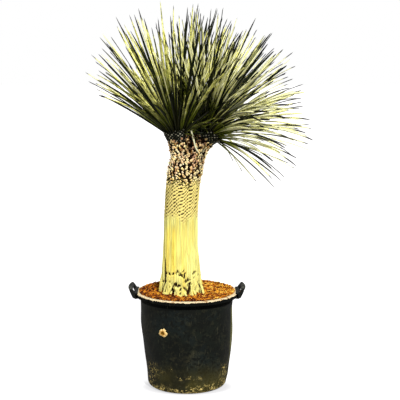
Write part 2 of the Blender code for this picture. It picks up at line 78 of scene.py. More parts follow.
# Tub. The outline repeats that of the part.
TUB_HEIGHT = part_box("tub")[1].z
RIM_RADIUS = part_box("tub")[1].x
BASE_RADIUS = 0.178
BASE_CORNER = 0.024
TOP_RADIUS = 0.2105
RIM_LIP = 0.018
FLANGE_BEND = 0.0035
TUB_COLUMNS = 192
FLOOR_RINGS = (0.012, 0.035, 0.060, 0.080)
DRAIN_HOLES = 6
DRAIN_RADIUS = 0.008
DRAIN_CIRCLE = 0.125
DRAIN_PATCH = 6  # columns and rings from a drain hole's centre to where the floor's grid is plain again
DRAIN_OPEN = 3  # the same, to the hole's edge
NICK_BEARING = -47
NICK_WIDTH = 0.045
NICK_DEPTH = 0.004
NICK_RISE = 0.006
# Painted shadow of the rim on the tub's side: near black under the rim
RIM_SHADOW_BAND = (0.388, 0.393)  # the side turns near black between these heights
PALE_RIM_BAND = (0.4255, 0.4275)  # the rim turns pale between these heights

# The soft side stands out on the right and at the upper left: bearing and half width in degrees, then height
# and how far
BULGES = (
    (90, 36, ((0.022, 0), (0.05, 0.0055), (0.10, 0.0090), (0.24, 0.0105), (0.30, 0.0050), (0.36, 0))),
    (-90, 30, ((0.022, 0), (0.08, 0.0005), (0.20, 0.0045), (0.285, 0.0080), (0.35, 0.0045), (0.41, 0))),
)

# Patch of dried clay on the tub
PATCH_BEARING = -31.3
PATCH_HEIGHT = 0.279
PATCH_REACH = 0.0185
PATCH_THICKNESS = 0.005

# Splashes of dirt on the tub: bearing, height, half width in degrees, half height and strength
SPLASHES = (
    (-57, 0.095, 10, 0.028, 1.0),
    (-66, 0.040, 12, 0.030, 1.0),
    (-48, 0.015, 14, 0.012, 1.0),
    (-40, 0.100, 7, 0.010, 0.6),
    (62, 0.098, 7, 0.016, 0.8),
    (-9, 0.078, 5, 0.006, 1.0),
    (3, 0.082, 4, 0.005, 0.8),
    (15, 0.076, 5, 0.006, 1.0),
    (2, 0.006, 12, 0.008, 1.0),
    (-22, 0.118, 3, 0.005, 0.6),
    (66, 0.050, 10, 0.040, 0.7),
    (128, 0.070, 14, 0.050, 0.8),
    (-140, 0.060, 18, 0.045, 0.8),
)
# The painted yellow-green reflection down the right side: bearing and half width in degrees, lowest and
# highest height
SHEEN_STRIP = (81, 5, 0.100, 0.385)

# Handles. The section repeats that of the part.
RIM_FACETS = 42
HANDLE_HALF_FACETS = 2
HANDLE_ROWS = 48
HANDLE_FLATNESS = 0.8
HANDLE_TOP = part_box("right_handle")[1].z
HANDLE_WALL = 0.0037
HANDLE_LEAN = 0.0165
HANDLE_LIP = 0.0125
LIP_TAPER = 0.5  # how much of the curl's reach is gone at the flap's ends
HANDLE_CLIP = 0.011
WEB_DEPTH = 0.021
WEB_FOOT = 0.009
WEB_FACETS = 0.16
GRIP_LOW = 0.4350
GRIP_HIGH = 0.4470
GRIP_FACETS = 1.35
OUTER_SLOT = 3  # the slot's lower corner on the outer side, as handle_section lists them
INNER_SLOT = 14  # and its upper corner on the inner side
GAP = 0.0003  # between pieces that touch

# Bark
SOIL_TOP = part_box("potting_soil")[1].z
BARK_LEVEL = 0.4155
BARK_HEAPED = 0.010  # how much higher the bark lies against the tub's wall
BARK_RADIUS = 0.2055
BARK_ROUGHNESS = 0.0028
CHIP_LAYERS = (0.000, 0.003, 0.006)
CHIP_MIDDLE = 0.0022  # how high a chip's middle lies above what it lies on
CHIPS_CLEAR = 0.080  # no chip's middle is nearer to the stem's than this
STEEP_CHIPS = 0.12  # share of chips that may lie steeply
SPILL_RADIUS = 0.2160  # chips lie on the rim as far out as this

# Plant. Its own frame stands on the ground under the stem, and its X axis runs from the left arm towards the
# right one.
PLANT_PLACE = (-0.025, 0.015)
PLANT_TURN = 22.0

# Main stem: height, drift towards the right arm, and radius
STEM_LINE = (
    (0.395, 0.000, 0.0900),
    (0.450, 0.000, 0.0880),
    (0.490, 0.000, 0.0868),
    (0.534, -0.001, 0.0845),
    (0.575, -0.001, 0.0812),
    (0.634, -0.003, 0.0765),
    (0.698, -0.003, 0.0740),
    (0.770, -0.003, 0.0740),
    (0.840, 0.002, 0.0755),
    (0.930, 0.0115, 0.0755),
    (0.975, 0.020, 0.0725),
    (1.005, 0.027, 0.0680),
    (1.035, 0.032, 0.0550),
    (1.065, 0.036, 0.0450),
    (1.088, 0.040, 0.0260),
)
STUB_RADIUS = 0.070
STUB_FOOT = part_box("trunk")[0].z
BARK_LINE = 0.418
STEM_COLUMNS = 480
# Rows of points up the stem: from a height, up to a height, and how many. The last row is the stem's top.
STEM_ROWS = (
    (0.400, 0.535, 61),
    (0.535, 0.600, 11),
    (0.600, 0.715, 13),
    (0.715, 0.950, 111),
    (0.950, 1.088, 7),
)
TOES = 14
TOE_REACH = 0.012
TOE_DECAY = 0.034
SCAR_ZONE = (0.748, 0.790)  # the scars begin at the first height and are full at the second
ROUGH_ZONE = (0.890, 0.955)  # the cut leaf bases take over between these heights
SCAR_COLUMNS = 24
SCAR_PITCH = 0.0158
SCAR_DEPTH = 0.0034
SCAR_ROWS = 400  # more rows of scars than the stem has
FIBRE_DEPTH = 0.0011
STREAK_BEARING = -34  # the yellow streaks in the bare stem are strongest here

# Cut leaf bases: the height between rows, how many stand in a row round the stem, the left and the right arm,
# where they begin on the arms, and the furrow between the arms, whose bases get a painted shade, as height
# and drift
BASE_PITCH = 0.0088
BASE_COLUMNS = (29, 18, 19)
ARM_BASES_FROM = 0.93
SHADED_FURROW = ((0.96, 0.030), (1.03, 0.033), (1.11, 0.043))
FURROW_WIDTH = 0.018

# Pits in the lower stem: bearing, height, radius
PITS = (
    (-38, 0.516, 0.0045),
    (-24, 0.520, 0.0055),
    (-14, 0.523, 0.0040),
    (0, 0.516, 0.0060),
    (9, 0.510, 0.0075),
    (18, 0.491, 0.0065),
    (25, 0.472, 0.0075),
    (-18, 0.472, 0.0070),
    (-8, 0.467, 0.0060),
    (13, 0.451, 0.0080),
    (41, 0.520, 0.0060),
    (70, 0.456, 0.0070),
)
SCATTERED_PITS = 54
PIT_DEPTH = 0.007

# The strongest surface roots: bearing, height of the top, reach and thickness
MAIN_ROOTS = (
    (-79, 0.560, 0.010, 0.0058),
    (80, 0.500, 0.024, 0.0050),
    (-30, 0.470, 0.034, 0.0044),
    (8, 0.452, 0.044, 0.0040),
    (40, 0.462, 0.036, 0.0044),
)
ROOT_FOOT = 0.404

# The crack at the stem's left: bearing, height and width
CRACK = (
    (-58, 0.436, 0.0140),
    (-56, 0.466, 0.0115),
    (-58, 0.500, 0.0100),
    (-60, 0.540, 0.0080),
    (-62, 0.585, 0.0030),
)
CRACK_DEPTH = 0.013

# Arms: height, drift towards the right arm, and radius
LEFT_ARM = (
    (0.900, 0.004, 0.0380),
    (0.960, 0.002, 0.0430),
    (1.010, 0.000, 0.0420),
    (1.045, -0.002, 0.0400),
    (1.075, -0.009, 0.0400),
    (1.105, -0.013, 0.0455),
)
RIGHT_ARM = (
    (0.900, 0.042, 0.0340),
    (0.970, 0.054, 0.0400),
    (1.030, 0.065, 0.0425),
    (1.078, 0.081, 0.0460),
    (1.107, 0.1025, 0.0500),
)

# Leaf bases in the fork: the lowest row's height, the step between rows and their number, half a row's depth
# and how many bases stand in it, and the middle between the arms by height
FORK_ROWS = (1.084, 0.009, 7)
FORK_ACROSS = (0.034, 9)
FORK_MIDDLE = ((1.084, 0.035), (1.107, 0.040), (1.120, 0.045), (1.140, 0.051))

# A cut leaf base: its sides, and per ring its place along the base, its width and depth as shares of the
# base's, how much of the slant it takes, and how much it shows the cut
STUB_SIDES = 6
STUB_STATIONS = (
    (-0.20, 0.90, 1.0, 0.0, 0.0),
    (0.35, 1.0, 1.0, 0.35, 0.0),
    (0.75, 0.95, 0.90, 0.75, 0.0),
    (1.0, 0.62, 0.60, 1.0, 0.0),
    (1.0, 0.44, 0.36, 1.0, 0.7),
)

# Growing tip of a crown: height above the arm, and share of the arm's radius
TIP_LINE = (
    (0.0, 1.00),
    (0.016, 1.14),
    (0.034, 1.28),
    (0.056, 1.26),
    (0.076, 0.98),
    (0.091, 0.50),
    (0.097, 0.04),
)
COLLAR_COLUMNS = 20
COLLAR_PITCH = 0.0150
COLLAR_RELIEF = 0.0048
LEAF_FOOT = 0.033
LEAF_CROWN = 0.090
LEAF_SUNK = 0.010
SHORT_LEAVES = 0.32  # share of leaves that are short
# How the two crowns' leaves differ
CROWNS = {
    "left_leaves": {
        "arm": LEFT_ARM,
        "spread": 49,  # degrees from the crown's axis to the spiral's last leaf
        "droop": 0.05,  # how far a level leaf sags, as a share of its length
        # lengths by the sine of the leaf's angle above level
        "lengths": ((0.35, 0.335), (0.45, 0.370), (0.65, 0.445), (0.83, 0.530), (1.0, 0.525)),
        # dark and under: the near black leaves and the darkening of those that reach towards the camera are
        # painted shade
        "dark": 0.42,  # share of leaves that are near black
        "under": 0.52,  # how much darker the leaves are that reach towards the camera
        "faded": 0.97,  # the share of the spiral after which leaves fade
        "black_ends": 0.78,  # share of leaves with a black end
    },
    "right_leaves": {
        "arm": RIGHT_ARM,
        "spread": 63,
        "droop": 0.10,
        "lengths": ((-0.30, 0.345), (0.10, 0.434), (0.50, 0.456), (0.77, 0.508), (1.0, 0.500)),
        "dark": 0.36,
        "under": 0.0,
        "faded": 0.62,
        "black_ends": 0.76,
    },
}
# A leaf's share is below 1 in the spiral and beside it. These two stand for a leaf that hangs at the right
# crown's side and for one that leans into the gap between the crowns.
HANGING = 1.04
IN_GAP = 1.06
FRONT_AZIMUTH = -106  # nearly towards the camera, in degrees from the crown's X axis
LEAF_KEEL = 0.0025
LEAF_PROFILE = ((0, 0.75), (0.08, 0.82), (0.35, 1.0), (0.72, 0.90), (0.88, 0.62), (0.96, 0.38), (1.0, 0.0))
LEAF_STATIONS = np.concatenate([np.linspace(0, 0.82, 8), [0.92, 0.975, 1.0]])
# Share of the width that a sunlit leaf of the right crown lacks, from its root to its tip. It is slim at its
# root and blunt at its tip.
SUNLIT_THINNING = ((0.0, 0.58), (0.38, 0.58), (0.72, 0.08), (0.90, -0.25), (0.975, -1.1))
GOLDEN_ANGLE = math.pi * (3 - math.sqrt(5))

# Faded leaf that folds over into the fork, in the plant's own frame
FADED_LEAF = (
    (0.006, -0.010, 1.176),
    (0.012, -0.049, 1.180),
    (0.016, -0.062, 1.170),
    (0.036, -0.060, 1.112),
    (0.054, -0.058, 1.064),
    (0.068, -0.060, 1.046),
)
FADED_WIDTH = 0.0095
FADED_KEEL = 0.0016
FADED_PROFILE = ((0, 0.85), (0.2, 0.95), (0.5, 1.0), (0.85, 0.85), (1.0, 0.0))

# Stage
FLOOR_RADIUS = 30.0
FLOOR_LEVEL = -0.0006
SUN_COLOUR = (1.0, 0.975, 0.93)
SUN_SOFTNESS = 3
CAMERA_PLACE = (0.0586, -5.0, 1.575)
CAMERA_PITCH = 8.34
CAMERA_LENS = 102.3
SENSOR = 36.0
SIDE_LIGHT = (20, -68, 25)  # degrees above level, bearing and softness


# Settings


class TubSettings(bpy.types.PropertyGroup):
    """Sizes and colours of the tub and its handles"""

    wall: FloatProperty(name="Wall", description="Thickness of the plastic", default=0.0037, unit="LENGTH")
    dents: FloatProperty(name="Dents", description="Depth of the side's dents", default=0.0016, unit="LENGTH")
    body: FloatVectorProperty(
        name="Body", description="Colour of the plastic", default=(0.0046, 0.0068, 0.0044), subtype="COLOR"
    )
    dust: FloatVectorProperty(
        name="Dust",
        description="Colour of the dust on the side",
        default=(0.105, 0.092, 0.042),
        subtype="COLOR",
    )
    rim: FloatVectorProperty(
        name="Rim", description="Colour of the worn rim", default=(0.80, 0.66, 0.42), subtype="COLOR"
    )
    clay: FloatVectorProperty(
        name="Clay", description="Colour of the dried clay", default=(0.72, 0.38, 0.085), subtype="COLOR"
    )


class BarkSettings(bpy.types.PropertyGroup):
    """Number, size and colours of the bark chips"""

    chips: IntProperty(name="Chips", description="Number of bark chips", default=5200)
    length: FloatProperty(name="Length", description="Longest chip", default=0.026, unit="LENGTH")
    dark: FloatVectorProperty(
        name="Dark bark",
        description="Colour of the darkest chips",
        default=(0.085, 0.018, 0.006),
        subtype="COLOR",
    )
    bright: FloatVectorProperty(
        name="Bright bark",
        description="Colour of the brightest chips",
        default=(0.86, 0.41, 0.035),
        subtype="COLOR",
    )


class TrunkSettings(bpy.types.PropertyGroup):
    """Colours of the trunk, its cut leaf bases and its roots"""

    pale: FloatVectorProperty(
        name="Pale fibre",
        description="Colour of the bare fibrous stem",
        default=(0.79, 0.75, 0.245),
        subtype="COLOR",
    )
    golden: FloatVectorProperty(
        name="Golden fibre",
        description="Colour of the scarred stem",
        default=(0.80, 0.67, 0.17),
        subtype="COLOR",
    )
    pit: FloatVectorProperty(
        name="Pit",
        description="Colour of pits, cracks and furrows",
        default=(0.030, 0.013, 0.004),
        subtype="COLOR",
    )
    stub_length: FloatProperty(
        name="Stubs", description="Length of a cut leaf base", default=0.0150, unit="LENGTH"
    )
    roots: IntProperty(name="Roots", description="Number of surface roots", default=13)


class LeafSettings(bpy.types.PropertyGroup):
    """Number, size and colours of the leaves"""

    left_count: IntProperty(name="Left leaves", description="Leaves of the left crown", default=186)
    right_count: IntProperty(name="Right leaves", description="Leaves of the right crown", default=212)
    size: FloatProperty(name="Size", description="Leaf length as a share of the part's", default=1.0)
    width: FloatProperty(name="Width", description="Widest part of a leaf", default=0.0113, unit="LENGTH")
    shaded: FloatVectorProperty(
        name="Shaded",
        description="Colour of the darkest leaves",
        default=(0.005, 0.009, 0.003),
        subtype="COLOR",
    )
    green: FloatVectorProperty(
        name="Green", description="Colour of a common leaf", default=(0.135, 0.165, 0.012), subtype="COLOR"
    )
    lime: FloatVectorProperty(
        name="Lime", description="Colour of the brightest leaves", default=(0.85, 0.84, 0.21), subtype="COLOR"
    )
    margin: FloatVectorProperty(
        name="Margin", description="Colour of the leaf's edge", default=(0.92, 0.88, 0.30), subtype="COLOR"
    )


class StageSettings(bpy.types.PropertyGroup):
    """Strength and place of the lights"""

    sun_strength: FloatProperty(name="Sun", description="Strength of the key light", default=4.6)
    sun_height: FloatProperty(name="Sun height", description="Degrees above the horizon", default=43.0)
    sun_bearing: FloatProperty(
        name="Sun bearing", description="Degrees from the front to the right", default=20.0
    )
    side_strength: FloatProperty(
        name="Side light", description="Strength of the weak light at the left", default=0.5
    )
    fill_strength: FloatProperty(
        name="Fill", description="Strength of the light from all sides", default=0.45
    )
    floor_glow: FloatProperty(
        name="Floor glow", description="Brightness that only the camera sees", default=0.90
    )


# Mesh tools


def spline(knots, values, at):
    """Cubic Hermite curve through the knots, whose slope at a knot is that between its neighbours."""
    knots = np.asarray(knots, float)
    values = np.asarray(values, float)
    at = np.clip(np.asarray(at, float), knots[0], knots[-1])
    slopes = np.gradient(values, knots)
    k = np.clip(np.searchsorted(knots, at) - 1, 0, len(knots) - 2)
    width = knots[k + 1] - knots[k]
    t = (at - knots[k]) / width
    start = (1 + 2 * t) * (1 - t) ** 2 * values[k] + t * (1 - t) ** 2 * width * slopes[k]
    end = t**2 * (3 - 2 * t) * values[k + 1] + t**2 * (t - 1) * width * slopes[k + 1]
    return start + end


def smoothstep(low, high, values):
    """Rises from 0 at low to 1 at high as 3t^2 - 2t^3."""
    t = np.clip((values - low) / (high - low), 0, 1)
    return t * t * (3 - 2 * t)


def wrapped(angle):
    """The same angle between -pi and pi."""
    return (angle + math.pi) % math.tau - math.pi


def off_bearing(angle, bearing):
    """How far an angle lies from a bearing, between -pi and pi."""
    return wrapped(angle - around(bearing))


def full_turn(columns):
    """Angles evenly spaced round a full turn."""
    return math.tau * np.arange(columns) / columns


def bell(values, width):
    """1 at 0, and falling to both sides as exp(-(value / width)^2)."""
    return np.exp(-((values / width) ** 2))


def around(bearing):
    """The angle from +X, in radians, of a bearing in degrees from the front."""
    return np.radians(np.asarray(bearing, float) - 90)


def swell(rng, angle, height, lobes, waves=9):
    """Smooth relief of about unit size: the sum of sine waves over the root of their number. Each wave has a
    whole number of lobes round the axis, so that it closes where the angle comes full circle, and a lean."""
    total = np.zeros(np.broadcast(angle, height).shape)
    for _ in range(waves):
        lobe, slope, start = rng.integers(*lobes), rng.uniform(-1, 1), rng.uniform(0, math.tau)
        total += np.sin(lobe * angle + slope * height + start)
    return total / math.sqrt(waves)


def grid_faces(rows, columns):
    """Quads between neighbouring rows of points that are numbered row by row, each row a closed ring."""
    row = np.arange(rows - 1)[:, None] * columns
    column = np.arange(columns)
    following = (column + 1) % columns
    corners = (row + column, row + following, row + columns + following, row + columns + column)
    return np.stack(corners, axis=-1).reshape(-1, 4)


def fan_faces(ring, centre, turned=False):
    """Triangles from each edge of a closed ring of point numbers to a centre point."""
    following = np.roll(ring, -1)
    first, second = (following, ring) if turned else (ring, following)
    return np.stack([first, second, np.full(len(ring), centre)], axis=-1)


def capped_faces(rows, columns):
    """Faces of a closed shape: quads of its rings, and fans that close the first and the last ring.
    The middle points of these two follow the rings' points."""
    count = rows * columns
    ring = np.arange(columns)
    fans = [fan_faces(ring, count, turned=True), fan_faces(count - columns + ring, count + 1)]
    return [grid_faces(rows, columns), np.concatenate(fans)]


def capped_points(rings, first, last):
    """The rings' points and the middle points of the first and the last ring, for one shape or many."""
    middles = np.stack([first, last], axis=-2)
    return np.concatenate([rings.reshape(*rings.shape[:-3], -1, 3), middles], axis=-2)


def repeated(groups, size, count):
    """The faces of count copies of a shape that has size points."""
    first = size * np.arange(count)[:, None, None]
    return [(first + group).reshape(-1, group.shape[1]) for group in groups]


def flipped(groups):
    """The same faces turned inside out."""
    return [group[:, ::-1] for group in groups]


def make_piece(name, points, faces, finish, replaced=(), smooth=True, marks=None):
    """Builds a mesh object from points and arrays of faces, with one attribute per entry of marks.
    Points that no face uses are left out."""
    points = np.asarray(points, float).reshape(-1, 3)
    mesh = bpy.data.meshes.new(name)
    corners = np.concatenate([group.ravel() for group in faces]).astype(np.int32)
    sizes = np.concatenate([np.full(len(group), group.shape[1]) for group in faces])
    used = np.zeros(len(points), bool)
    used[corners] = True
    renumbered = np.cumsum(used) - 1
    points = points[used]
    mesh.vertices.add(len(points))
    mesh.vertices.foreach_set("co", points.ravel())
    mesh.loops.add(len(corners))
    mesh.loops.foreach_set("vertex_index", renumbered[corners].astype(np.int32))
    mesh.polygons.add(len(sizes))
    mesh.polygons.foreach_set("loop_start", (np.cumsum(sizes) - sizes).astype(np.int32))
    mesh.polygons.foreach_set("use_smooth", np.full(len(sizes), smooth))
    mesh.update(calc_edges=True)
    for attribute, values in (marks or {}).items():
        layer = mesh.attributes.new(attribute, "FLOAT", "POINT")
        layer.data.foreach_set("value", np.asarray(values, np.float32).ravel()[used])
    mesh.validate()
    mesh.materials.append(finish)
    obj = bpy.data.objects.new(name, mesh)
    bpy.context.scene.collection.objects.link(obj)
    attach(obj, "root")
    if replaced:
        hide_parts(*replaced)
    return obj


def turned_points(radius, angle, height):
    """Points at these radii, angles and heights round the Z axis."""
    return points_at(radius * np.cos(angle), radius * np.sin(angle), height)


def points_at(x, y, z):
    """Points with these coordinates, each an array or one number for all."""
    return np.stack(np.broadcast_arrays(x, y, z), axis=-1)


def placed(points, matrix):
    """The points moved by a 4 by 4 matrix."""
    moved = np.array(matrix)
    return points @ moved[:3, :3].T + moved[:3, 3]


def unit(vectors):
    """The vectors scaled to a length of 1."""
    return vectors / np.linalg.norm(vectors, axis=-1, keepdims=True)


def plant_frame():
    """World matrix of the plant: its place in the tub and its turn."""
    return Matrix.Translation((*PLANT_PLACE, 0)) @ Matrix.Rotation(math.radians(PLANT_TURN), 4, "Z")


def limb_at(line, height):
    """Drift and radius of the stem or an arm at a height."""
    heights, drifts, radii = zip(*line)
    return spline(heights, drifts, height), spline(heights, radii, height)


def arm_end(arm):
    """Height, drift and radius of an arm at its end, and its tilt there."""
    (low_z, low_x, _), (high_z, high_x, radius) = arm[-2:]
    return high_z, high_x, radius, math.atan2(high_x - low_x, high_z - low_z)


# Material tools


def node(tree, kind, inputs=None, **settings):
    """Adds a node. An entry of inputs gives a socket its value, or the socket that feeds it."""
    made = tree.nodes.new(kind)
    for key, value in settings.items():
        setattr(made, key, value)
    for key, value in (inputs or {}).items():
        if isinstance(value, bpy.types.NodeSocket):
            tree.links.new(value, made.inputs[key])
        else:
            made.inputs[key].default_value = value
    return made


def maths(operation, first, second, clamp=False):
    """A Math node in the tree that its first socket belongs to."""
    tree = (first if isinstance(first, bpy.types.NodeSocket) else second).id_data
    inputs = {0: first, 1: second}
    return node(tree, "ShaderNodeMath", inputs, operation=operation, use_clamp=clamp).outputs[0]


def plus(first, second, clamp=False):
    """The sum, kept between 0 and 1 where it is clamped."""
    return maths("ADD", first, second, clamp)


def less(first, second):
    """The first value without the second."""
    return maths("SUBTRACT", first, second)


def times(first, *others):
    """The product of the values."""
    for other in others:
        first = maths("MULTIPLY", first, other)
    return first


def most(first, *others):
    """The largest of the values."""
    for other in others:
        first = maths("MAXIMUM", first, other)
    return first


def rise(value, low, high):
    """0 where the value is at or below low, 1 where it is at or above high, and smooth between."""
    inputs = {"Value": value, "From Min": low, "From Max": high}
    return node(value.id_data, "ShaderNodeMapRange", inputs, interpolation_type="SMOOTHSTEP").outputs[0]


def mixed(share, first, second):
    """The first colour where share is 0, and the second where it is 1."""
    inputs = {0: share}
    for socket, colour in ((6, first), (7, second)):
        inputs[socket] = colour if isinstance(colour, bpy.types.NodeSocket) else (*colour[:3], 1)
    return node(share.id_data, "ShaderNodeMix", inputs, data_type="RGBA").outputs[2]


def banded(value, bands):
    """A colour ramp through bands, each a place from 0 to 1 and a colour."""
    ramp = node(value.id_data, "ShaderNodeValToRGB", {0: value})
    while len(ramp.color_ramp.elements) < len(bands):
        ramp.color_ramp.elements.new(0.5)
    for element, (place, colour) in zip(ramp.color_ramp.elements, bands):
        element.position = place
        element.color = (*colour[:3], 1)
    return ramp.outputs[0]


def object_place(tree):
    """The object's own coordinates."""
    return node(tree, "ShaderNodeTexCoord").outputs["Object"]


def noise_in(tree, scale, detail=3.0):
    """Noise from 0 to 1 on the object's own coordinates."""
    inputs = {"Vector": object_place(tree), "Scale": scale, "Detail": detail}
    return node(tree, "ShaderNodeTexNoise", inputs).outputs[0]


def shade_of(colour, factor):
    """The colour times a factor, with no channel above 1."""
    return tuple(min(1.0, channel * factor) for channel in colour[:3])


def new_group(name, inputs, outputs):
    """An empty node group with these number inputs and outputs, and its two end nodes."""
    tree = bpy.data.node_groups.new(name, "ShaderNodeTree")
    for socket, value in inputs.items():
        made = tree.interface.new_socket(socket, in_out="INPUT", socket_type="NodeSocketFloat")
        made.default_value = value
    for socket in outputs:
        tree.interface.new_socket(socket, in_out="OUTPUT", socket_type="NodeSocketFloat")
    return tree, tree.nodes.new("NodeGroupInput").outputs, tree.nodes.new("NodeGroupOutput").inputs


def build_grain():
    """Noise drawn out upwards: fibre on the stem, scratches and the streaks of the painted yellow-green
    reflection on the tub.
    """
    inputs = {"Across": 300.0, "Along": 12.0, "Detail": 3.0, "Low": 0.35, "High": 0.65}
    tree, given, put = new_group("Drawn grain", inputs, ("Mask", "Height"))
    stretch = node(tree, "ShaderNodeCombineXYZ", {0: given["Across"], 1: given["Across"], 2: given["Along"]})
    inputs = {0: object_place(tree), 1: stretch.outputs[0]}
    drawn = node(tree, "ShaderNodeVectorMath", inputs, operation="MULTIPLY").outputs[0]
    inputs = {"Vector": drawn, "Scale": 1.0, "Detail": given["Detail"]}
    noise = node(tree, "ShaderNodeTexNoise", inputs).outputs[0]
    tree.links.new(rise(noise, given["Low"], given["High"]), put["Mask"])
    tree.links.new(noise, put["Height"])


def build_blotches():
    """Patches of one size with a soft edge, broken up by a finer noise."""
    inputs = {"Scale": 20.0, "Fine scale": 180.0, "Low": 0.5, "High": 0.65, "Broken": 0.35}
    tree, given, put = new_group("Blotches", inputs, ("Mask",))
    coarse = noise_in(tree, given["Scale"], 4.0)
    broken = times(less(noise_in(tree, given["Fine scale"]), 0.5), given["Broken"])
    tree.links.new(rise(plus(coarse, broken), given["Low"], given["High"]), put["Mask"])


class Finish:
    """A material with one Principled shader. Constants are set on the shader's own sockets."""

    def __init__(self, name, roughness=0.8, specular=0.3):
        self.material = bpy.data.materials.new(name)
        self.material.use_nodes = True
        self.tree = self.material.node_tree
        self.shader = self.tree.nodes["Principled BSDF"]
        self.shader.inputs["Roughness"].default_value = roughness
        self.shader.inputs["Specular IOR Level"].default_value = specular

    def colour(self, socket):
        """Feeds the base colour."""
        self.tree.links.new(socket, self.shader.inputs["Base Color"])

    def roughness(self, socket):
        """Feeds the roughness."""
        self.tree.links.new(socket, self.shader.inputs["Roughness"])

    def bump(self, height, strength, distance):
        """Feeds the normal from a height. The distance is how far 1 stands above 0, in metres."""
        inputs = {"Height": height, "Strength": strength, "Distance": distance}
        made = node(self.tree, "ShaderNodeBump", inputs)
        self.tree.links.new(made.outputs[0], self.shader.inputs["Normal"])

    def height(self):
        """Height above the ground."""
        return node(self.tree, "ShaderNodeSeparateXYZ", {0: object_place(self.tree)}).outputs[2]

    def noise(self, scale, detail=3.0):
        """Noise from 0 to 1, the finer the larger its scale."""
        return noise_in(self.tree, scale, detail)

    def mark(self, name):
        """The value of a point attribute."""
        return node(self.tree, "ShaderNodeAttribute", attribute_name=name).outputs["Fac"]

    def group(self, name, *values):
        """Places a node group and gives its inputs their values."""
        group = bpy.data.node_groups[name]
        return node(self.tree, "ShaderNodeGroup", dict(enumerate(values)), node_tree=group).outputs

    def blotches(self, scale, fine_scale, low, high, broken):
        """Mask of the group Blotches."""
        return self.group("Blotches", scale, fine_scale, low, high, broken)["Mask"]

    def grain(self, across, along, detail, low, high):
        """Outputs of the group Drawn grain."""
        return self.group("Drawn grain", across, along, detail, low, high)


# Finishes


def plastic_finish(settings):
    """Black plastic with blue-green mottling, and what lies on it from the ground up: a gold line of dirt at
    the foot, specks and olive dust low down, splashes, a thin film and scratches; painted on it, a
    yellow-green reflection down the right side and the rim's shadow, near black under the rim; and the pale
    rim top."""
    finish = Finish("black_plastic", roughness=0.55, specular=0.14)
    height = finish.height()
    patchy = rise(finish.noise(8.0, 2.0), 0.40, 0.60)
    dirt = mixed(rise(finish.noise(120.0), 0.40, 0.60), (0.10, 0.07, 0.014), (0.74, 0.58, 0.20))
    rim_shadow = rise(height, *RIM_SHADOW_BAND)
    lit = less(1.0, rim_shadow)

    mottled = mixed(rise(finish.noise(14.0, 5.0), 0.35, 0.68), shade_of(settings.body, 0.45), settings.body)
    bluish = rise(finish.noise(6.0, 2.0), 0.52, 0.66)
    colour = mixed(times(bluish, 0.5), mottled, (0.004, 0.0085, 0.0095))
    # Painted shadow of the rim: the band under it turns near black
    colour = mixed(rim_shadow, colour, shade_of(settings.body, 0.12))
    film = finish.blotches(9.0, 150.0, 0.50, 0.74, 0.4)
    colour = mixed(times(film, 0.10, lit), colour, settings.dust)
    fine = finish.blotches(46.0, 210.0, 0.55, 0.62, 0.6)
    colour = mixed(times(fine, 0.07, lit), colour, settings.dust)
    colour = mixed(rise(finish.noise(75.0), 0.50, 0.38), colour, shade_of(settings.body, 0.40))
    scratches = finish.grain(150.0, 16.0, 2.0, 0.66, 0.72)["Mask"]
    colour = mixed(times(scratches, 0.14), colour, (0.16, 0.15, 0.09))

    low_down = rise(height, 0.16, 0.02)
    colour = mixed(times(low_down, plus(0.05, times(patchy, 0.12))), colour, (0.17, 0.14, 0.014))
    specks = finish.blotches(62.0, 240.0, 0.51, 0.60, 0.6)
    at_foot = most(times(rise(height, 0.058, 0.004), patchy), rise(height, 0.030, 0.012))
    colour = mixed(times(specks, at_foot), colour, dirt)
    line = times(rise(height, 0.015, 0.005), rise(finish.noise(34.0), 0.38, 0.52))
    colour = mixed(times(line, 0.75), colour, dirt)
    crumbs = finish.blotches(85.0, 260.0, 0.53, 0.60, 0.5)
    colour = mixed(times(crumbs, finish.mark("splash")), colour, dirt)
    # Painted reflection: a yellow-green sheen in drawn streaks down the right side
    runs = finish.grain(95.0, 9.0, 3.0, 0.40, 0.62)["Mask"]
    colour = mixed(times(finish.mark("painted_sheen"), times(runs, 0.60)), colour, (0.58, 0.57, 0.20))

    # The rim's top turns pale cream, with a ragged lower edge
    ragged = times(less(finish.noise(60.0, 4.0), 0.5), 0.011)
    lightened = times(rise(plus(height, ragged), *PALE_RIM_BAND), finish.mark("rim"))
    rim_cream = mixed(finish.noise(110.0), shade_of(settings.rim, 0.55), shade_of(settings.rim, 1.05))
    rim_cream = mixed(rise(finish.noise(42.0), 0.56, 0.66), rim_cream, (0.34, 0.21, 0.10))
    finish.colour(mixed(lightened, colour, rim_cream))
    scuffed = plus(0.42, times(finish.noise(24.0, 5.0), 0.35))
    finish.roughness(most(scuffed, rim_shadow, times(lightened, 0.85)))
    finish.bump(finish.noise(420.0, 4.0), 0.12, 0.0006)
    return finish.material


def handle_finish(settings):
    """Black plastic, with a painted grey highlight in blotches along the top of the curl."""
    finish = Finish("handle_plastic", roughness=0.5, specular=0.22)
    # Painted highlight: grey blotches along the top of the curl
    highlight_blotches = finish.blotches(40.0, 300.0, 0.50, 0.66, 0.5)
    top = rise(finish.height(), HANDLE_TOP - 0.003, HANDLE_TOP - 0.0005)
    lightened = times(highlight_blotches, top, 0.30)
    finish.colour(mixed(lightened, shade_of(settings.body, 0.5), (0.30, 0.31, 0.24)))
    finish.roughness(plus(0.40, times(finish.noise(60.0), 0.3)))
    finish.bump(finish.noise(500.0), 0.1, 0.0004)
    return finish.material


def clay_finish(settings):
    """Dried clay: golden tan with a brown middle and chalky raised tips."""
    finish = Finish("dried_clay", roughness=0.9, specular=0.1)
    grain = finish.noise(240.0, 4.0)
    body = mixed(grain, shade_of(settings.clay, 0.55), shade_of(settings.clay, 1.15))
    tipped = mixed(rise(finish.mark("reach"), 0.52, 0.80), body, (0.66, 0.48, 0.21))
    middle = rise(finish.mark("reach"), 0.54, 0.34)
    finish.colour(mixed(middle, tipped, (0.115, 0.055, 0.003)))
    finish.bump(grain, 0.5, 0.0012)
    return finish.material


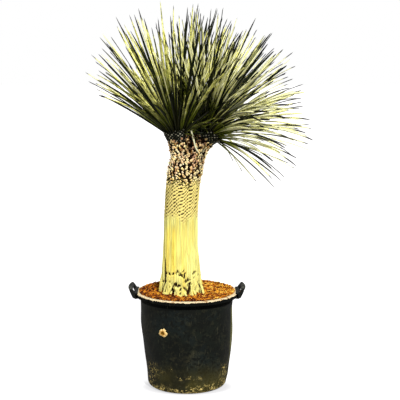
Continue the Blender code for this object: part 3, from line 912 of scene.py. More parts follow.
def soil_finish():
    """Potting soil: dark crumbs with a few pale specks."""
    finish = Finish("potting_soil", roughness=0.95, specular=0.1)
    crumbs = finish.noise(160.0, 5.0)
    body = mixed(crumbs, (0.022, 0.012, 0.007), (0.115, 0.066, 0.036))
    specks = finish.blotches(210.0, 600.0, 0.66, 0.70, 0.3)
    finish.colour(mixed(specks, body, (0.42, 0.36, 0.26)))
    finish.bump(crumbs, 0.8, 0.003)
    return finish.material


def bark_finish(settings, name="bark_chips", shade=1.0):
    """Bark: each chip has its own tone, with a fine grain that is darker in its hollows."""
    finish = Finish(name, roughness=0.9, specular=0.06)
    patches = times(less(finish.noise(16.0, 2.0), 0.5), 0.7)
    lot = plus(finish.mark("tone"), patches, clamp=True)
    bands = (
        (0.00, shade_of(settings.dark, 0.35 * shade)),
        (0.24, shade_of(settings.dark, 1.3 * shade)),
        (0.44, shade_of((0.36, 0.095, 0.010), shade)),
        (0.66, shade_of((0.66, 0.235, 0.016), shade)),
        (0.86, shade_of(settings.bright, shade)),
        (1.00, shade_of((0.93, 0.58, 0.10), shade)),
    )
    grain = finish.noise(330.0, 5.0)
    dark_in_grain_hollows = rise(grain, 0.56, 0.36)
    finish.colour(mixed(dark_in_grain_hollows, banded(lot, bands), (0.06, 0.015, 0.006)))
    finish.bump(grain, 0.6, 0.0015)
    return finish.material


def trunk_finish(settings):
    """Fibrous stem: pale drawn fibres, yellow and orange-brown streaks, a golden net of scars, dark pits, and
    a painted shade that turns it near black under the cut leaf bases.
    """
    finish = Finish("fibrous_trunk", roughness=0.85, specular=0.08)
    fibre = finish.grain(190.0, 7.0, 4.0, 0.38, 0.64)
    broad = finish.grain(60.0, 3.0, 3.0, 0.46, 0.66)
    lines = finish.grain(330.0, 9.0, 2.0, 0.60, 0.72)
    streaks = finish.grain(210.0, 5.0, 3.0, 0.53, 0.62)
    bare = mixed(fibre["Mask"], shade_of(settings.pale, 0.70), shade_of(settings.pale, 1.06))
    bare = mixed(times(broad["Mask"], 0.46), bare, (0.66, 0.52, 0.08))
    bare = mixed(times(lines["Mask"], 0.46), bare, (0.34, 0.28, 0.09))
    bare = mixed(times(finish.mark("streak"), 0.80), bare, (0.80, 0.61, 0.045))
    streaked = times(streaks["Mask"], finish.mark("streak"))
    bare = mixed(times(streaked, 0.85), bare, (0.50, 0.24, 0.030))
    net = mixed(finish.noise(130.0), shade_of(settings.golden, 0.72), (0.90, 0.76, 0.28))
    whole = mixed(finish.mark("net"), bare, net)
    # Painted shade: under the cut leaf bases the stem is near black, standing for the shade between them
    rough = mixed(finish.noise(180.0, 4.0), (0.005, 0.002, 0.001), (0.036, 0.016, 0.005))
    shaded_under_bases = mixed(finish.mark("rough"), whole, rough)
    # Pit colour: pits and scar dashes are partly dark tissue, partly painted shade; in the crack and the toe
    # gaps it is painted shade
    finish.colour(mixed(finish.mark("pit"), shaded_under_bases, settings.pit))
    finish.bump(fibre["Height"], 0.6, 0.0018)
    return finish.material


def stub_finish():
    """Cut leaf bases: near black at the foot, a painted shadow where the bases above cover it, tan to cream
    above, in part pink, golden where they shrink.
    """
    finish = Finish("cut_leaf_bases", roughness=0.85, specular=0.08)
    bands = (
        (0.00, (0.10, 0.038, 0.010)),
        (0.22, (0.44, 0.22, 0.055)),
        (0.42, (0.78, 0.53, 0.19)),
        (0.64, (0.94, 0.78, 0.36)),
        (1.00, (1.00, 0.95, 0.64)),
    )
    tinge = times(rise(finish.noise(38.0, 2.0), 0.48, 0.62), 0.45)
    pink = mixed(tinge, banded(finish.mark("tone"), bands), (0.86, 0.50, 0.33))
    golden = mixed(finish.mark("gold"), pink, (0.86, 0.68, 0.19))
    fibre = finish.noise(360.0, 4.0)
    sides = mixed(rise(fibre, 0.46, 0.32), golden, (0.10, 0.040, 0.012))
    # Painted shadow: each base's covered foot turns near black
    foot = mixed(rise(finish.mark("along"), 0.62, 0.36), sides, (0.008, 0.003, 0.001))
    ends = mixed(finish.noise(520.0), (0.74, 0.54, 0.28), (1.00, 0.92, 0.66))
    finish.colour(mixed(finish.mark("cut"), foot, ends))
    finish.bump(fibre, 0.5, 0.001)
    return finish.material


def collar_finish():
    """Live leaf bases: near black between, green on their flanks, and a painted grey-white highlight in the
    middle.
    """
    finish = Finish("leaf_base_collar", roughness=0.65, specular=0.10)
    middle = times(finish.mark("middle"), finish.mark("glint_strength"))
    flank = mixed(finish.mark("middle"), (0.002, 0.002, 0.001), (0.018, 0.022, 0.009))
    glint_colour = mixed(finish.noise(300.0), (0.19, 0.18, 0.12), (0.52, 0.51, 0.38))
    finish.colour(mixed(rise(middle, 0.30, 0.62), flank, glint_colour))
    finish.bump(finish.noise(400.0), 0.3, 0.0008)
    return finish.material


def leaf_finish(settings):
    """Leaves: a tone from near black, as painted shade, through green to lime and near white, as painted
    sunlight.
    The inner part is painted olive and darker, near black at the root, as the shade inside the crown. Bright
    leaves have a pale margin, and the black end starts where the mark says."""
    finish = Finish("leaf", roughness=0.5, specular=0.14)
    tone = finish.mark("tone")
    along = finish.mark("along")
    # The tone's bands: near black stands for a leaf in painted shade, lime and near white for painted
    # sunlight
    bands = (
        (0.00, settings.shaded),
        (0.30, shade_of(settings.green, 0.15)),
        (0.46, shade_of(settings.green, 0.70)),
        (0.62, shade_of(settings.lime, 0.45)),
        (0.80, settings.lime),
        (1.00, (0.98, 0.98, 0.58)),
    )
    fine = less(finish.noise(130.0, 3.0), 0.5)
    patches = less(finish.noise(26.0, 2.0), 0.5)
    uneven = plus(times(fine, 0.80), times(patches, 1.00))
    face = banded(plus(tone, uneven, clamp=True), bands)
    rim = times(rise(finish.mark("edge"), 0.70, 0.92), rise(tone, 0.34, 0.66))
    edged = mixed(rim, face, settings.margin)
    # Pale cream: the bleaching of faded leaves, and a painted highlight on the right crown's sunlit leaves
    faded_and_lit = mixed(finish.mark("faded_and_sunlit"), edged, (0.93, 0.94, 0.62))
    # Painted shade inside the crown: the inner part olive and darker, the root near black
    olive = mixed(rise(tone, 0.20, 0.80), shade_of(settings.green, 0.08), shade_of(settings.green, 1.05))
    root_shaded = mixed(rise(along, 0.48, 0.22), faded_and_lit, olive)
    root_shaded = mixed(rise(along, 0.22, 0.05), root_shaded, (0.009, 0.011, 0.001))
    end = less(along, finish.mark("end"))
    finish.colour(mixed(rise(end, 0.0, 0.07), root_shaded, (0.010, 0.010, 0.008)))
    finish.roughness(plus(0.42, times(finish.noise(90.0), 0.22)))
    finish.bump(fine, 0.15, 0.0005)
    return finish.material


def faded_finish():
    """A dead leaf: bleached cream, and brown at its tip."""
    finish = Finish("faded_leaf", roughness=0.7, specular=0.25)
    fibre = finish.noise(240.0, 4.0)
    body = mixed(fibre, (0.50, 0.50, 0.28), (0.82, 0.80, 0.56))
    finish.colour(mixed(rise(finish.mark("along"), 0.86, 1.0), body, (0.62, 0.44, 0.18)))
    finish.bump(fibre, 0.3, 0.0008)
    return finish.material


def floor_finish(settings):
    """A grey floor that looks white to the camera, so it throws little light up. It is shaded in a soft oval
    at the tub."""
    finish = Finish("pale_floor", roughness=0.9, specular=0.0)
    tree = finish.tree
    inputs = {0: object_place(tree), 1: (1, 1.6, 1), 2: (0, 0.08, 0)}
    oval = node(tree, "ShaderNodeVectorMath", inputs, operation="MULTIPLY_ADD").outputs["Vector"]
    distance = node(tree, "ShaderNodeVectorMath", {0: oval}, operation="LENGTH").outputs["Value"]
    near = rise(distance, BASE_RADIUS + 0.075, BASE_RADIUS - 0.010)
    finish.colour(mixed(near, (0.34, 0.34, 0.34), (0.16, 0.16, 0.17)))
    finish.shader.inputs["Emission Color"].default_value = (0.985, 0.985, 1, 1)
    seen = node(tree, "ShaderNodeLightPath").outputs["Is Camera Ray"]
    dimmed = less(1.0, times(near, 0.30))
    glow = times(seen, settings.floor_glow, dimmed)
    tree.links.new(glow, finish.shader.inputs["Emission Strength"])
    return finish.material


# Tub


def wall_radius(height):
    """The tub's outer radius on its straight, tapered side."""
    return BASE_RADIUS + (height - BASE_CORNER) / (TUB_HEIGHT - BASE_CORNER) * (TOP_RADIUS - BASE_RADIUS)


def arc(centre, radius, start, end, count):
    """Points on a circle, from one angle to another in degrees, as radius and height."""
    angle = np.radians(np.linspace(start, end, count))
    return np.stack([centre[0] + radius * np.cos(angle), centre[1] + radius * np.sin(angle)], axis=-1)


def tub_outline(wall):
    """Middle of the wall from the floor's plain rings to the lip's foot: rounded foot, tapered side, flange
    and lip."""
    half = wall / 2
    foot = arc((BASE_RADIUS - BASE_CORNER, BASE_CORNER), BASE_CORNER - half, -90, 0, 10)
    top = TUB_HEIGHT - half
    side_heights = np.linspace(BASE_CORNER, top - FLANGE_BEND, 52)[1:]
    side = np.stack([wall_radius(side_heights) - half, side_heights], axis=-1)
    bend = arc((side[-1, 0] + FLANGE_BEND, side[-1, 1]), FLANGE_BEND, 180, 90, 5)[1:]
    edge = RIM_RADIUS - half
    roll = arc((edge - FLANGE_BEND, top - FLANGE_BEND), FLANGE_BEND, 90, 0, 6)
    flange = np.stack([np.linspace(bend[-1, 0], roll[0, 0], 5)[1:-1], np.full(3, top)], axis=-1)
    lip_heights = np.linspace(top - FLANGE_BEND, TUB_HEIGHT - RIM_LIP, 7)[1:]
    lip = np.stack([np.full(len(lip_heights), edge), lip_heights], axis=-1)
    return np.concatenate([foot, side, bend, flange, roll, lip])


def floor_grid(half, angle):
    """The floor's rings, with the grid pulled into circles round the drain holes.

    In a square patch round each hole, a point at distance s from the middle, counted as the larger of its two
    coordinates, lies between the hole's circle, where s is that of the edge, and the square, where s is 1.
    """
    step = math.tau / TUB_COLUMNS * DRAIN_CIRCLE
    patch_rings = DRAIN_CIRCLE + step * np.arange(-DRAIN_PATCH, DRAIN_PATCH + 1)
    radii = np.concatenate([FLOOR_RINGS, patch_rings])
    sector = TUB_COLUMNS // DRAIN_HOLES
    column = np.arange(TUB_COLUMNS)
    tangential = column % sector - sector // 2
    a = np.broadcast_to(tangential / DRAIN_PATCH, (len(radii), TUB_COLUMNS))
    b = np.broadcast_to(((radii - DRAIN_CIRCLE) / (step * DRAIN_PATCH))[:, None], a.shape)
    s = np.maximum(np.abs(a), np.abs(b))
    near = (s <= 1) & (s > 0)
    direction = np.arctan2(b, a)
    size = step * DRAIN_PATCH
    safe = np.where(near, s, 1)
    blend = np.clip((s - DRAIN_OPEN / DRAIN_PATCH) / (1 - DRAIN_OPEN / DRAIN_PATCH), 0, 1)
    sideways = (1 - blend) * DRAIN_RADIUS * np.cos(direction) + blend * size * a / safe
    outward = (1 - blend) * DRAIN_RADIUS * np.sin(direction) + blend * size * b / safe
    ring_radius = np.broadcast_to(radii[:, None], a.shape)
    ring_angle = np.broadcast_to(angle, a.shape)
    hole_angle = ring_angle - tangential / TUB_COLUMNS * math.tau
    radius = np.where(near, DRAIN_CIRCLE + outward, ring_radius)
    turn = np.where(near, hole_angle + sideways / DRAIN_CIRCLE, ring_angle)
    return turned_points(radius, turn, np.full(a.shape, half)), s


def side_bulge(angle, height):
    """How far the side stands out of its taper: over the height a curve, round the axis a bell."""
    total = 0 * angle + 0 * height
    for bearing, wide, knots in BULGES:
        total = total + bell(np.degrees(off_bearing(angle, bearing)), wide) * spline(*zip(*knots), height)
    return total


def side_dirt_and_sheen(angle, height):
    """How much dirt lies on the side, the most that any splash, a soft oval, puts there, and the mask of a
    tall painted yellow-green reflection.
    """
    splash = 0 * angle + 0 * height
    for bearing, middle, wide, tall, strength in SPLASHES:
        off = np.degrees(off_bearing(angle, bearing)) / wide
        splash = np.maximum(splash, strength * np.exp(-(off**2) - ((height - middle) / tall) ** 2))
    bearing, wide, low, high = SHEEN_STRIP
    ends = smoothstep(low, low + 0.05, height) * smoothstep(high, high - 0.03, height)
    return {"splash": splash, "painted_sheen": bell(np.degrees(off_bearing(angle, bearing)), wide) * ends}


def make_tub(settings, finish):
    """The shell is the middle of the wall turned round the axis, with shallow dents and a nick in its lip."""
    half = settings.wall / 2
    angle = full_turn(TUB_COLUMNS) + math.pi / DRAIN_HOLES
    angle = angle - math.tau / TUB_COLUMNS * (TUB_COLUMNS // DRAIN_HOLES // 2)
    floor, from_hole = floor_grid(half, angle)
    outline = tub_outline(settings.wall)
    radius, height = outline[:, :1], outline[:, 1:]
    rng = np.random.default_rng(SEEDS["tub"])
    broad = swell(rng, angle, height * 22, (2, 7))
    sag = broad * 0.7 + swell(rng, angle, height * 60, (5, 15)) * 0.3
    on_side = smoothstep(0.01, 0.08, height) * smoothstep(0.425, 0.36, height)
    nick = bell(off_bearing(angle, NICK_BEARING), NICK_WIDTH)
    on_lip = (radius > TOP_RADIUS + 0.008) * smoothstep(0.430, 0.414, height)
    bulge = side_bulge(angle, height) * (radius < TOP_RADIUS + 0.002)
    radius = radius + settings.dents * sag * on_side + bulge - NICK_DEPTH * nick * on_lip
    height = height + NICK_RISE * nick * on_lip + 0 * angle
    side = turned_points(radius, angle, height)
    points = np.concatenate([floor.reshape(-1, 3), side.reshape(-1, 3), [[0, 0, half]]])
    faces = grid_faces(len(floor) + len(side), TUB_COLUMNS)
    reach = np.concatenate([from_hole, np.full(side.shape[:2], np.inf)]).ravel()
    faces = faces[reach[faces].mean(axis=1) > DRAIN_OPEN / DRAIN_PATCH]
    marks = {"rim": radius > TOP_RADIUS - 0.004, **side_dirt_and_sheen(angle, height)}
    clean = np.zeros(from_hole.size)
    marks = {key: np.concatenate([clean, values.ravel(), [0]]) for key, values in marks.items()}
    groups = [faces[:, ::-1], fan_faces(np.arange(TUB_COLUMNS), len(points) - 1)]
    shell = make_piece("tub_shell", points, groups, finish, ("tub",), marks=marks)
    solid = shell.modifiers.new("wall", "SOLIDIFY")
    solid.thickness = settings.wall
    solid.offset = 0
    solid.use_quality_normals = True
    return shell


def make_clay_patch(finish):
    """A low crust on the side: a disc with five uneven round petals and a dish in the middle.

    Height over the wall is thickness times (1 - t^4) minus a dish of exp(-(t/0.3)^2), where t is 0 to 1
    outwards. The rows run from the middle of the outer face over the edge to the middle of the inner face.
    """
    columns, rings = 60, 12
    above, sunk = 0.0004, 0.002
    turn = full_turn(columns)
    t = (np.arange(rings) + 0.5)[:, None] / (rings - 0.5)
    petals = 1 - (1 - np.abs(np.cos(2.5 * turn + 0.25))) ** 1.5
    lobes = 0.80 + 0.24 * petals + 0.07 * np.cos(3 * turn + 2.1) + 0.03 * np.cos(9 * turn)
    ridge = (1 - t**4) * (0.60 + 0.45 * petals * t)
    lift = PATCH_THICKNESS * (ridge - 0.55 * bell(t, 0.3))
    sideways = PATCH_REACH * 1.15 * lobes * t * np.cos(turn)
    height = PATCH_HEIGHT + PATCH_REACH * lobes * t * np.sin(turn)
    base = wall_radius(height)
    angle = around(PATCH_BEARING) + sideways / base
    outer = turned_points(base + above + lift, angle, height)
    inner = turned_points(base - sunk, angle, height)[::-1]
    middle = wall_radius(PATCH_HEIGHT) + np.array([above + PATCH_THICKNESS * 0.2, -sunk])
    middles = turned_points(middle, around(PATCH_BEARING), PATCH_HEIGHT)
    points = capped_points(np.concatenate([outer, inner]), *middles)
    reach = np.broadcast_to(np.concatenate([t, t[::-1]]), (2 * rings, columns))
    marks = {"reach": np.append(reach, [0, 0])}
    faces = flipped(capped_faces(2 * rings, columns))
    return make_piece("clay_patch", points, faces, finish, marks=marks)


# Handles


def stand_off(facets):
    """How far the flap stands outside the rim's curve, because it is nearly straight."""
    turn = math.tau * facets / RIM_FACETS
    return HANDLE_FLATNESS * RIM_RADIUS * (1 / np.cos(turn) - 1)


def handle_section():
    """Corners of the flap's section: a clip round the rim, a leaning plate and an outward curl.

    A corner is a radius, the share of the curl's reach that is added to it, and a height. The outer and the
    inner side each have a corner at the slot's lower and upper height.
    """
    clip = RIM_RADIUS + GAP - HANDLE_CLIP
    inner = RIM_RADIUS + GAP
    outer = inner + HANDLE_WALL
    toe = TUB_HEIGHT - RIM_LIP - GAP
    ledge = TUB_HEIGHT + GAP
    curl = HANDLE_TOP - HANDLE_WALL
    leant = outer + HANDLE_LEAN

    def leaning(start, foot, top, height):
        return start + HANDLE_LEAN * (height - foot) / (top - foot)

    outer_foot = ledge + HANDLE_WALL / 2
    return np.array(
        [
            (clip, 0, toe - HANDLE_WALL),
            (outer, 0, toe - HANDLE_WALL),
            (outer, 0, outer_foot),
            (leaning(outer, outer_foot, curl, GRIP_LOW), 0, GRIP_LOW),
            (leaning(outer, outer_foot, curl, GRIP_HIGH), 0, GRIP_HIGH),
            (leant - 0.0013, 0, curl - 0.0012),
            (leant + 0.0010, 0.1, curl),
            (leant, 0.6, curl + 0.0008),
            (leant - 0.0008, 1, curl - 0.0020),
            (leant, 1, curl - 0.0012),
            (leant, 1, curl + 0.0022),
            (leant, 0.6, HANDLE_TOP),
            (inner + HANDLE_LEAN + 0.0015, 0, HANDLE_TOP),
            (inner + HANDLE_LEAN - 0.0003, 0, HANDLE_TOP - 0.0012),
            (leaning(inner, ledge + HANDLE_WALL, HANDLE_TOP, GRIP_HIGH), 0, GRIP_HIGH),
            (leaning(inner, ledge + HANDLE_WALL, HANDLE_TOP, GRIP_LOW), 0, GRIP_LOW),
            (inner, 0, ledge + HANDLE_WALL),
            (clip, 0, ledge + HANDLE_WALL),
            (clip, 0, ledge),
            (inner, 0, ledge),
            (inner, 0, toe),
            (clip, 0, toe),
        ]
    )


def web_section():
    """Corners of the web at each end of the flap: slim at its foot, deepest at half height, and under the
    curl."""
    outer = RIM_RADIUS + GAP + HANDLE_WALL - 0.001
    toe = TUB_HEIGHT - RIM_LIP
    return np.array(
        [
            (outer, 0, toe - 0.002),
            (outer + WEB_FOOT, 0, toe + 0.001),
            (outer + WEB_DEPTH, 0, TUB_HEIGHT + 0.008),
            (outer + WEB_FOOT + HANDLE_LEAN, 0, HANDLE_TOP - HANDLE_WALL + 0.001),
            (outer + HANDLE_LEAN, 0, HANDLE_TOP - 0.001),
            (outer, 0, TUB_HEIGHT),
        ]
    )


def swept_section(section, facets):
    """A section's corners carried round the rim, as rows of points. The curl is shorter at the ends."""
    turn = (math.tau * facets / RIM_FACETS)[:, None]
    lip = HANDLE_LIP * (1 - LIP_TAPER * (facets / HANDLE_HALF_FACETS) ** 2)
    radius = section[:, 0] + section[:, 1] * lip[:, None] + stand_off(facets)[:, None]
    return turned_points(radius, turn, np.broadcast_to(section[:, 2], radius.shape))


def make_handle(name, node_name, half_turn, finish):
    """The section swept round the rim, with the slot's cells left out on both sides and walled in between."""
    section = handle_section()
    plain = np.linspace(-HANDLE_HALF_FACETS, HANDLE_HALF_FACETS, HANDLE_ROWS + 1)
    first = int(np.argmin(np.abs(plain + GRIP_FACETS)))
    last = HANDLE_ROWS - first
    plain[first], plain[last] = -GRIP_FACETS, GRIP_FACETS
    points = swept_section(section, plain)
    size = len(section)
    faces = grid_faces(len(plain), size)
    row, column = np.divmod(np.arange(len(faces)), size)
    in_slot = (row >= first) & (row < last) & ((column == OUTER_SLOT) | (column == INNER_SLOT))
    rows = np.arange(first, last) * size
    outer_low, outer_high = rows + OUTER_SLOT, rows + OUTER_SLOT + 1
    inner_high, inner_low = rows + INNER_SLOT, rows + INNER_SLOT + 1
    floor = np.stack([outer_low, inner_low, inner_low + size, outer_low + size], axis=-1)
    roof = np.stack([outer_high + size, inner_high + size, inner_high, outer_high], axis=-1)
    corners = np.array([OUTER_SLOT, OUTER_SLOT + 1, INNER_SLOT, INNER_SLOT + 1])
    sides = np.stack([first * size + corners, last * size + corners[::-1]])
    ring = np.arange(size)[None]
    groups = [faces[~in_slot], floor, roof, sides, ring[:, ::-1], (len(plain) - 1) * size + ring]
    shape = [points.reshape(-1, 3)]
    start = len(shape[0])
    web = web_section()
    ring = np.arange(len(web))[None]
    for side in (-1, 1):
        span = np.sort(side * np.array([HANDLE_HALF_FACETS - 0.002, HANDLE_HALF_FACETS - WEB_FACETS]))
        shape.append(swept_section(web, span).reshape(-1, 3))
        groups += [start + grid_faces(2, len(web)), start + ring[:, ::-1], start + ring + len(web)]
        start += 2 * len(web)
    turned = placed(np.concatenate(shape), Matrix.Rotation(math.pi if half_turn else 0, 4, "Z"))
    handle = make_piece(name, turned, flipped(groups), finish, (node_name,), smooth=False)
    bevel = handle.modifiers.new("edges", "BEVEL")
    bevel.width = 0.0008
    bevel.segments = 2
    bevel.limit_method = "ANGLE"
    bevel.angle_limit = math.radians(32)
    return handle


# Bark


def bark_height(x, y):
    """The bark's mean height: level with low waves of four leans, and heaped against the tub's wall."""
    waves = ((61, 23, 0.4), (-37, 52, 1.9), (18, -74, 3.1), (88, 41, 5.0))
    heaped = BARK_HEAPED * smoothstep(0.135, 0.198, np.hypot(x, y))
    return BARK_LEVEL + heaped + BARK_ROUGHNESS * sum(np.sin(p * x + q * y + r) for p, q, r in waves) / 2


def make_bark_bed(finish):
    """The bed that carries the chips: rings from the middle to the tub's wall, then down to the soil."""
    columns, rings = 160, 44
    angle = full_turn(columns)
    radius = BARK_RADIUS * ((np.arange(rings) + 1) / rings)[:, None]
    x, y = radius * np.cos(angle), radius * np.sin(angle)
    rng = np.random.default_rng(SEEDS["bark_bed"])
    lumps = swell(rng, angle, radius * 420, (11, 46), waves=14) * smoothstep(0.01, 0.06, radius)
    top = points_at(x, y, bark_height(x, y) + 0.0016 * lumps)
    foot_radius = np.array([[BARK_RADIUS - 0.0015], [BARK_RADIUS * 0.5]])
    foot = turned_points(foot_radius, angle, SOIL_TOP + GAP)
    points = capped_points(np.concatenate([top, foot]), (0, 0, bark_height(0, 0)), (0, 0, SOIL_TOP + GAP))
    tone = 0.35 + 0.25 * swell(rng, angle, radius * 160, (5, 30))
    tone = np.concatenate([tone.ravel(), np.full(2 * columns + 2, 0.2)])
    faces = flipped(capped_faces(rings + 2, columns))
    return make_piece("bark_bed", points, faces, finish, ("bark_mulch",), marks={"tone": tone})


def turn_matrices(yaw, pitch, roll):
    """Rotation matrices: a roll about X, then a pitch about Y, then a yaw about Z."""
    (cy, cp, cr), (sy, sp, sr) = np.cos([yaw, pitch, roll]), np.sin([yaw, pitch, roll])
    rows = [
        points_at(cy * cp, cy * sp * sr - sy * cr, cy * sp * cr + sy * sr),
        points_at(sy * cp, sy * sp * sr + cy * cr, sy * sp * cr - cy * sr),
        points_at(-sp, cp * sr, cp * cr),
    ]
    return np.stack(rows, axis=-2)


def make_bark_chips(settings, finish):
    """Chips strewn in layers: six-sided blocks, each corner pulled in by its own share, tilted at random."""
    rng = np.random.default_rng(SEEDS["bark_chips"])
    count = settings.chips
    radius = (SPILL_RADIUS - 0.006) * np.sqrt(rng.uniform(0.0, 1.0, 2 * count))
    angle = rng.uniform(0, math.tau, 2 * count)
    x, y = radius * np.cos(angle), radius * np.sin(angle)
    clear = np.hypot(x - PLANT_PLACE[0], y - PLANT_PLACE[1]) > CHIPS_CLEAR
    x, y = x[clear][:count], y[clear][:count]
    count = len(x)
    length = rng.uniform(0.36, 1.0, count) * settings.length
    width = length * rng.uniform(0.32, 0.62, count)
    thick = rng.uniform(0.0022, 0.0048, count)
    corner = np.array([(i, j, k) for k in (-1, 1) for j in (-1, 1) for i in (-1, 1)], float)
    pull = rng.uniform(0.55, 1.0, (count, 8, 3))
    local = corner * pull * points_at(length, width, thick)[:, None, :] / 2
    yaw = rng.uniform(0, math.tau, count)
    steep = rng.uniform(0, 1, count) < STEEP_CHIPS
    pitch = rng.normal(0, 0.20, count) + np.where(steep, rng.normal(0, 0.45, count), 0)
    roll = rng.normal(0, 0.28, count)
    shape = np.einsum("nij,nkj->nki", turn_matrices(yaw, pitch, roll), local)
    layer = rng.choice(CHIP_LAYERS, count)
    spilled = np.hypot(x, y) > BARK_RADIUS - 0.006
    height = np.where(spilled, TUB_HEIGHT + 0.4 * layer, bark_height(x, y) + layer) + CHIP_MIDDLE
    shape += points_at(x, y, height)[:, None, :]
    reach = np.hypot(shape[..., 0], shape[..., 1])
    farthest = np.where(spilled, SPILL_RADIUS, BARK_RADIUS - 0.0005)[:, None]
    shape[..., :2] *= np.minimum(1, farthest / reach)[..., None]
    shape[..., 2] = np.where(spilled[:, None], np.maximum(shape[..., 2], TUB_HEIGHT + GAP), shape[..., 2])
    sides = np.array([(0, 2, 3, 1), (4, 5, 7, 6), (0, 1, 5, 4), (2, 6, 7, 3), (0, 4, 6, 2), (1, 3, 7, 5)])
    sunny = 0.30 * smoothstep(-0.16, 0.16, x + 0.9 * y)
    tone = np.clip(rng.beta(1.2, 1.2, count) * 0.95 + sunny + 0.02 * layer / 0.003 - 0.16, 0, 1)
    marks = {"tone": np.repeat(tone, 8)}
    faces = repeated([sides], 8, count)
    return make_piece(
        "bark_chips", shape, faces, finish, ("bark_mulch",), smooth=False, marks=marks
    )


# Trunk


def lattice(angle, height, columns, pitch):
    """Where a point lies in a net of diamonds: its two diagonal coordinates, counted from the nearest
    crossing, and the row and column of that crossing, where both diagonal coordinates are whole."""
    u = columns * angle / math.tau
    v = height / pitch
    rising, falling = u - v, u + v
    row = np.rint(falling) - np.rint(rising)
    column = (np.rint(falling) + np.rint(rising)) % (2 * columns)
    return rising - np.rint(rising), falling - np.rint(falling), row.astype(int), column.astype(int)


def toe_marks(rng, angle, height):
    """Relief of the toes at the stem's foot, and the mask of the gaps between them, which are painted near
    black as their shade.

    The toes are a sum of round ridges at uneven angles, which reach out less and less with height. A gap
    opens where that sum is low, up to a height that swings round the stem.
    """
    toe_angle = math.tau * (np.arange(TOES) + rng.uniform(-0.32, 0.32, TOES)) / TOES
    toe_size = rng.uniform(0.55, 1.25, TOES)
    bend = 0.08 * swell(rng, angle, height * 45, (2, 6))
    off_toe = wrapped((angle + bend)[..., None] - toe_angle)
    toes = (toe_size * bell(off_toe, 0.15)).sum(axis=-1)
    spread = np.exp(-np.maximum(height - BARK_LINE, -0.02) / TOE_DECAY)
    gap_top = 0.444 + 0.024 * swell(rng, angle, 0 * height, (5, 19))
    low = 0.22 * swell(rng, angle, height * 120, (9, 40))
    gap = smoothstep(0.50, 0.28, toes + low) * smoothstep(gap_top + 0.010, gap_top - 0.006, height)
    knuckles = 0.0022 * swell(rng, angle, height * 130, (14, 50)) * smoothstep(0.500, 0.450, height)
    return TOE_REACH * spread * (toes - 0.25) - 0.012 * gap + knuckles, gap


def scar_marks(rng, angle, height):
    """The net of leaf scars: dark dashes at the crossings of a net of diamonds, joined by shallow furrows."""
    sway = 0.26 * swell(rng, angle, height * 38, (3, 13))
    shift = 0.0022 * swell(rng, angle, height * 38, (3, 13))
    off_rising, off_falling, row, column = lattice(
        angle + sway * math.tau / SCAR_COLUMNS, height + shift, SCAR_COLUMNS, SCAR_PITCH
    )
    strength = rng.uniform(0.50, 1.75, (SCAR_ROWS, 2 * SCAR_COLUMNS))[row % SCAR_ROWS, column]
    strength = strength * (0.80 + 0.30 * smoothstep(0.77, 0.87, height))
    dash = np.exp(-((off_rising / 0.24) ** 2) - (off_falling / 0.32) ** 2) * strength
    furrow = bell(off_rising, 0.17) * 0.31
    return np.clip(dash * 1.30 + furrow, 0, 1)


def stem_marks(angle, height, world_angle):
    """Relief of the stem, and the masks that its finish reads."""
    rng = np.random.default_rng(SEEDS["stem"])
    zone = smoothstep(*SCAR_ZONE, height + 0.012 * swell(rng, angle, height * 30, (3, 12)))
    rough = smoothstep(*ROUGH_ZONE, height + 0.012 * swell(rng, angle, height * 30, (3, 12)))
    toes, gap = toe_marks(rng, angle, height)
    fibres = swell(rng, angle, height * 9, (24, 95), waves=26)
    broad = swell(rng, angle, height * 9, (6, 20))
    lumps = swell(rng, angle, height * 30, (2, 9))
    bare = (1 - zone) * smoothstep(1.0, 0.9, height)
    relief = toes + bare * (FIBRE_DEPTH * fibres + 0.0009 * broad) + 0.0012 * lumps

    net = scar_marks(rng, angle, height) * zone * (1 - 0.4 * rough)
    relief = relief - SCAR_DEPTH * net + 0.0008 * zone
    pit = np.clip(net * 1.75 - 0.45, 0, 1)
    short = smoothstep(0.95, 1.35, swell(rng, angle, height * 60, (60, 120), waves=20))
    pit = np.maximum(pit, 0.75 * short * smoothstep(0.700, 0.748, height) * smoothstep(0.800, 0.762, height))

    _, stem = limb_at(STEM_LINE, height)
    chewed = 1 + 0.45 * swell(rng, angle, height * 300, (30, 90), waves=14)
    ranges = ((-180, 180), (0.430, 0.532), (0.0025, 0.0060))
    scattered = [[rng.uniform(*limits) for limits in ranges] for _ in range(SCATTERED_PITS)]
    for bearing, pit_height, radius in (*PITS, *scattered):
        across = off_bearing(world_angle, bearing) * stem
        above = height - pit_height
        across = across + above * rng.uniform(-0.8, 0.8)
        wide, tall = radius * rng.uniform(0.8, 1.6), radius * rng.uniform(0.9, 1.8)
        near = np.exp(-((across / wide) ** 2) - (above / tall) ** 2) * chewed
        relief = relief - PIT_DEPTH * np.clip(near, 0, 1)
        pit = np.maximum(pit, smoothstep(0.28, 0.50, near))
    bearings, heights, widths = zip(*CRACK)
    crack_angle = np.interp(height, heights, around(bearings))
    wide = np.interp(height, heights, widths) * (0.8 + 0.2 * chewed)
    inside = smoothstep(0.425, 0.440, height) * smoothstep(0.590, 0.565, height)
    crack = bell(wrapped(world_angle - crack_angle) * stem, wide) * inside
    relief = relief - CRACK_DEPTH * crack - 0.004 * rough
    # The crack and the gaps between the toes join the pit mask: painted shade in these hollows
    pit = np.maximum(np.maximum(pit, smoothstep(0.22, 0.55, crack)), smoothstep(0.10, 0.50, gap))
    side = bell(off_bearing(world_angle, STREAK_BEARING), 0.38)
    streak = side * smoothstep(0.47, 0.55, height) * smoothstep(0.752, 0.700, height) * (0.70 + 0.35 * broad)
    streak = streak + 0.25 * smoothstep(0.7, 1.3, swell(rng, world_angle, height * 3, (3, 9)))
    return relief, {"pit": pit, "net": zone * (1 - rough), "rough": rough, "streak": np.clip(streak, 0, 1)}


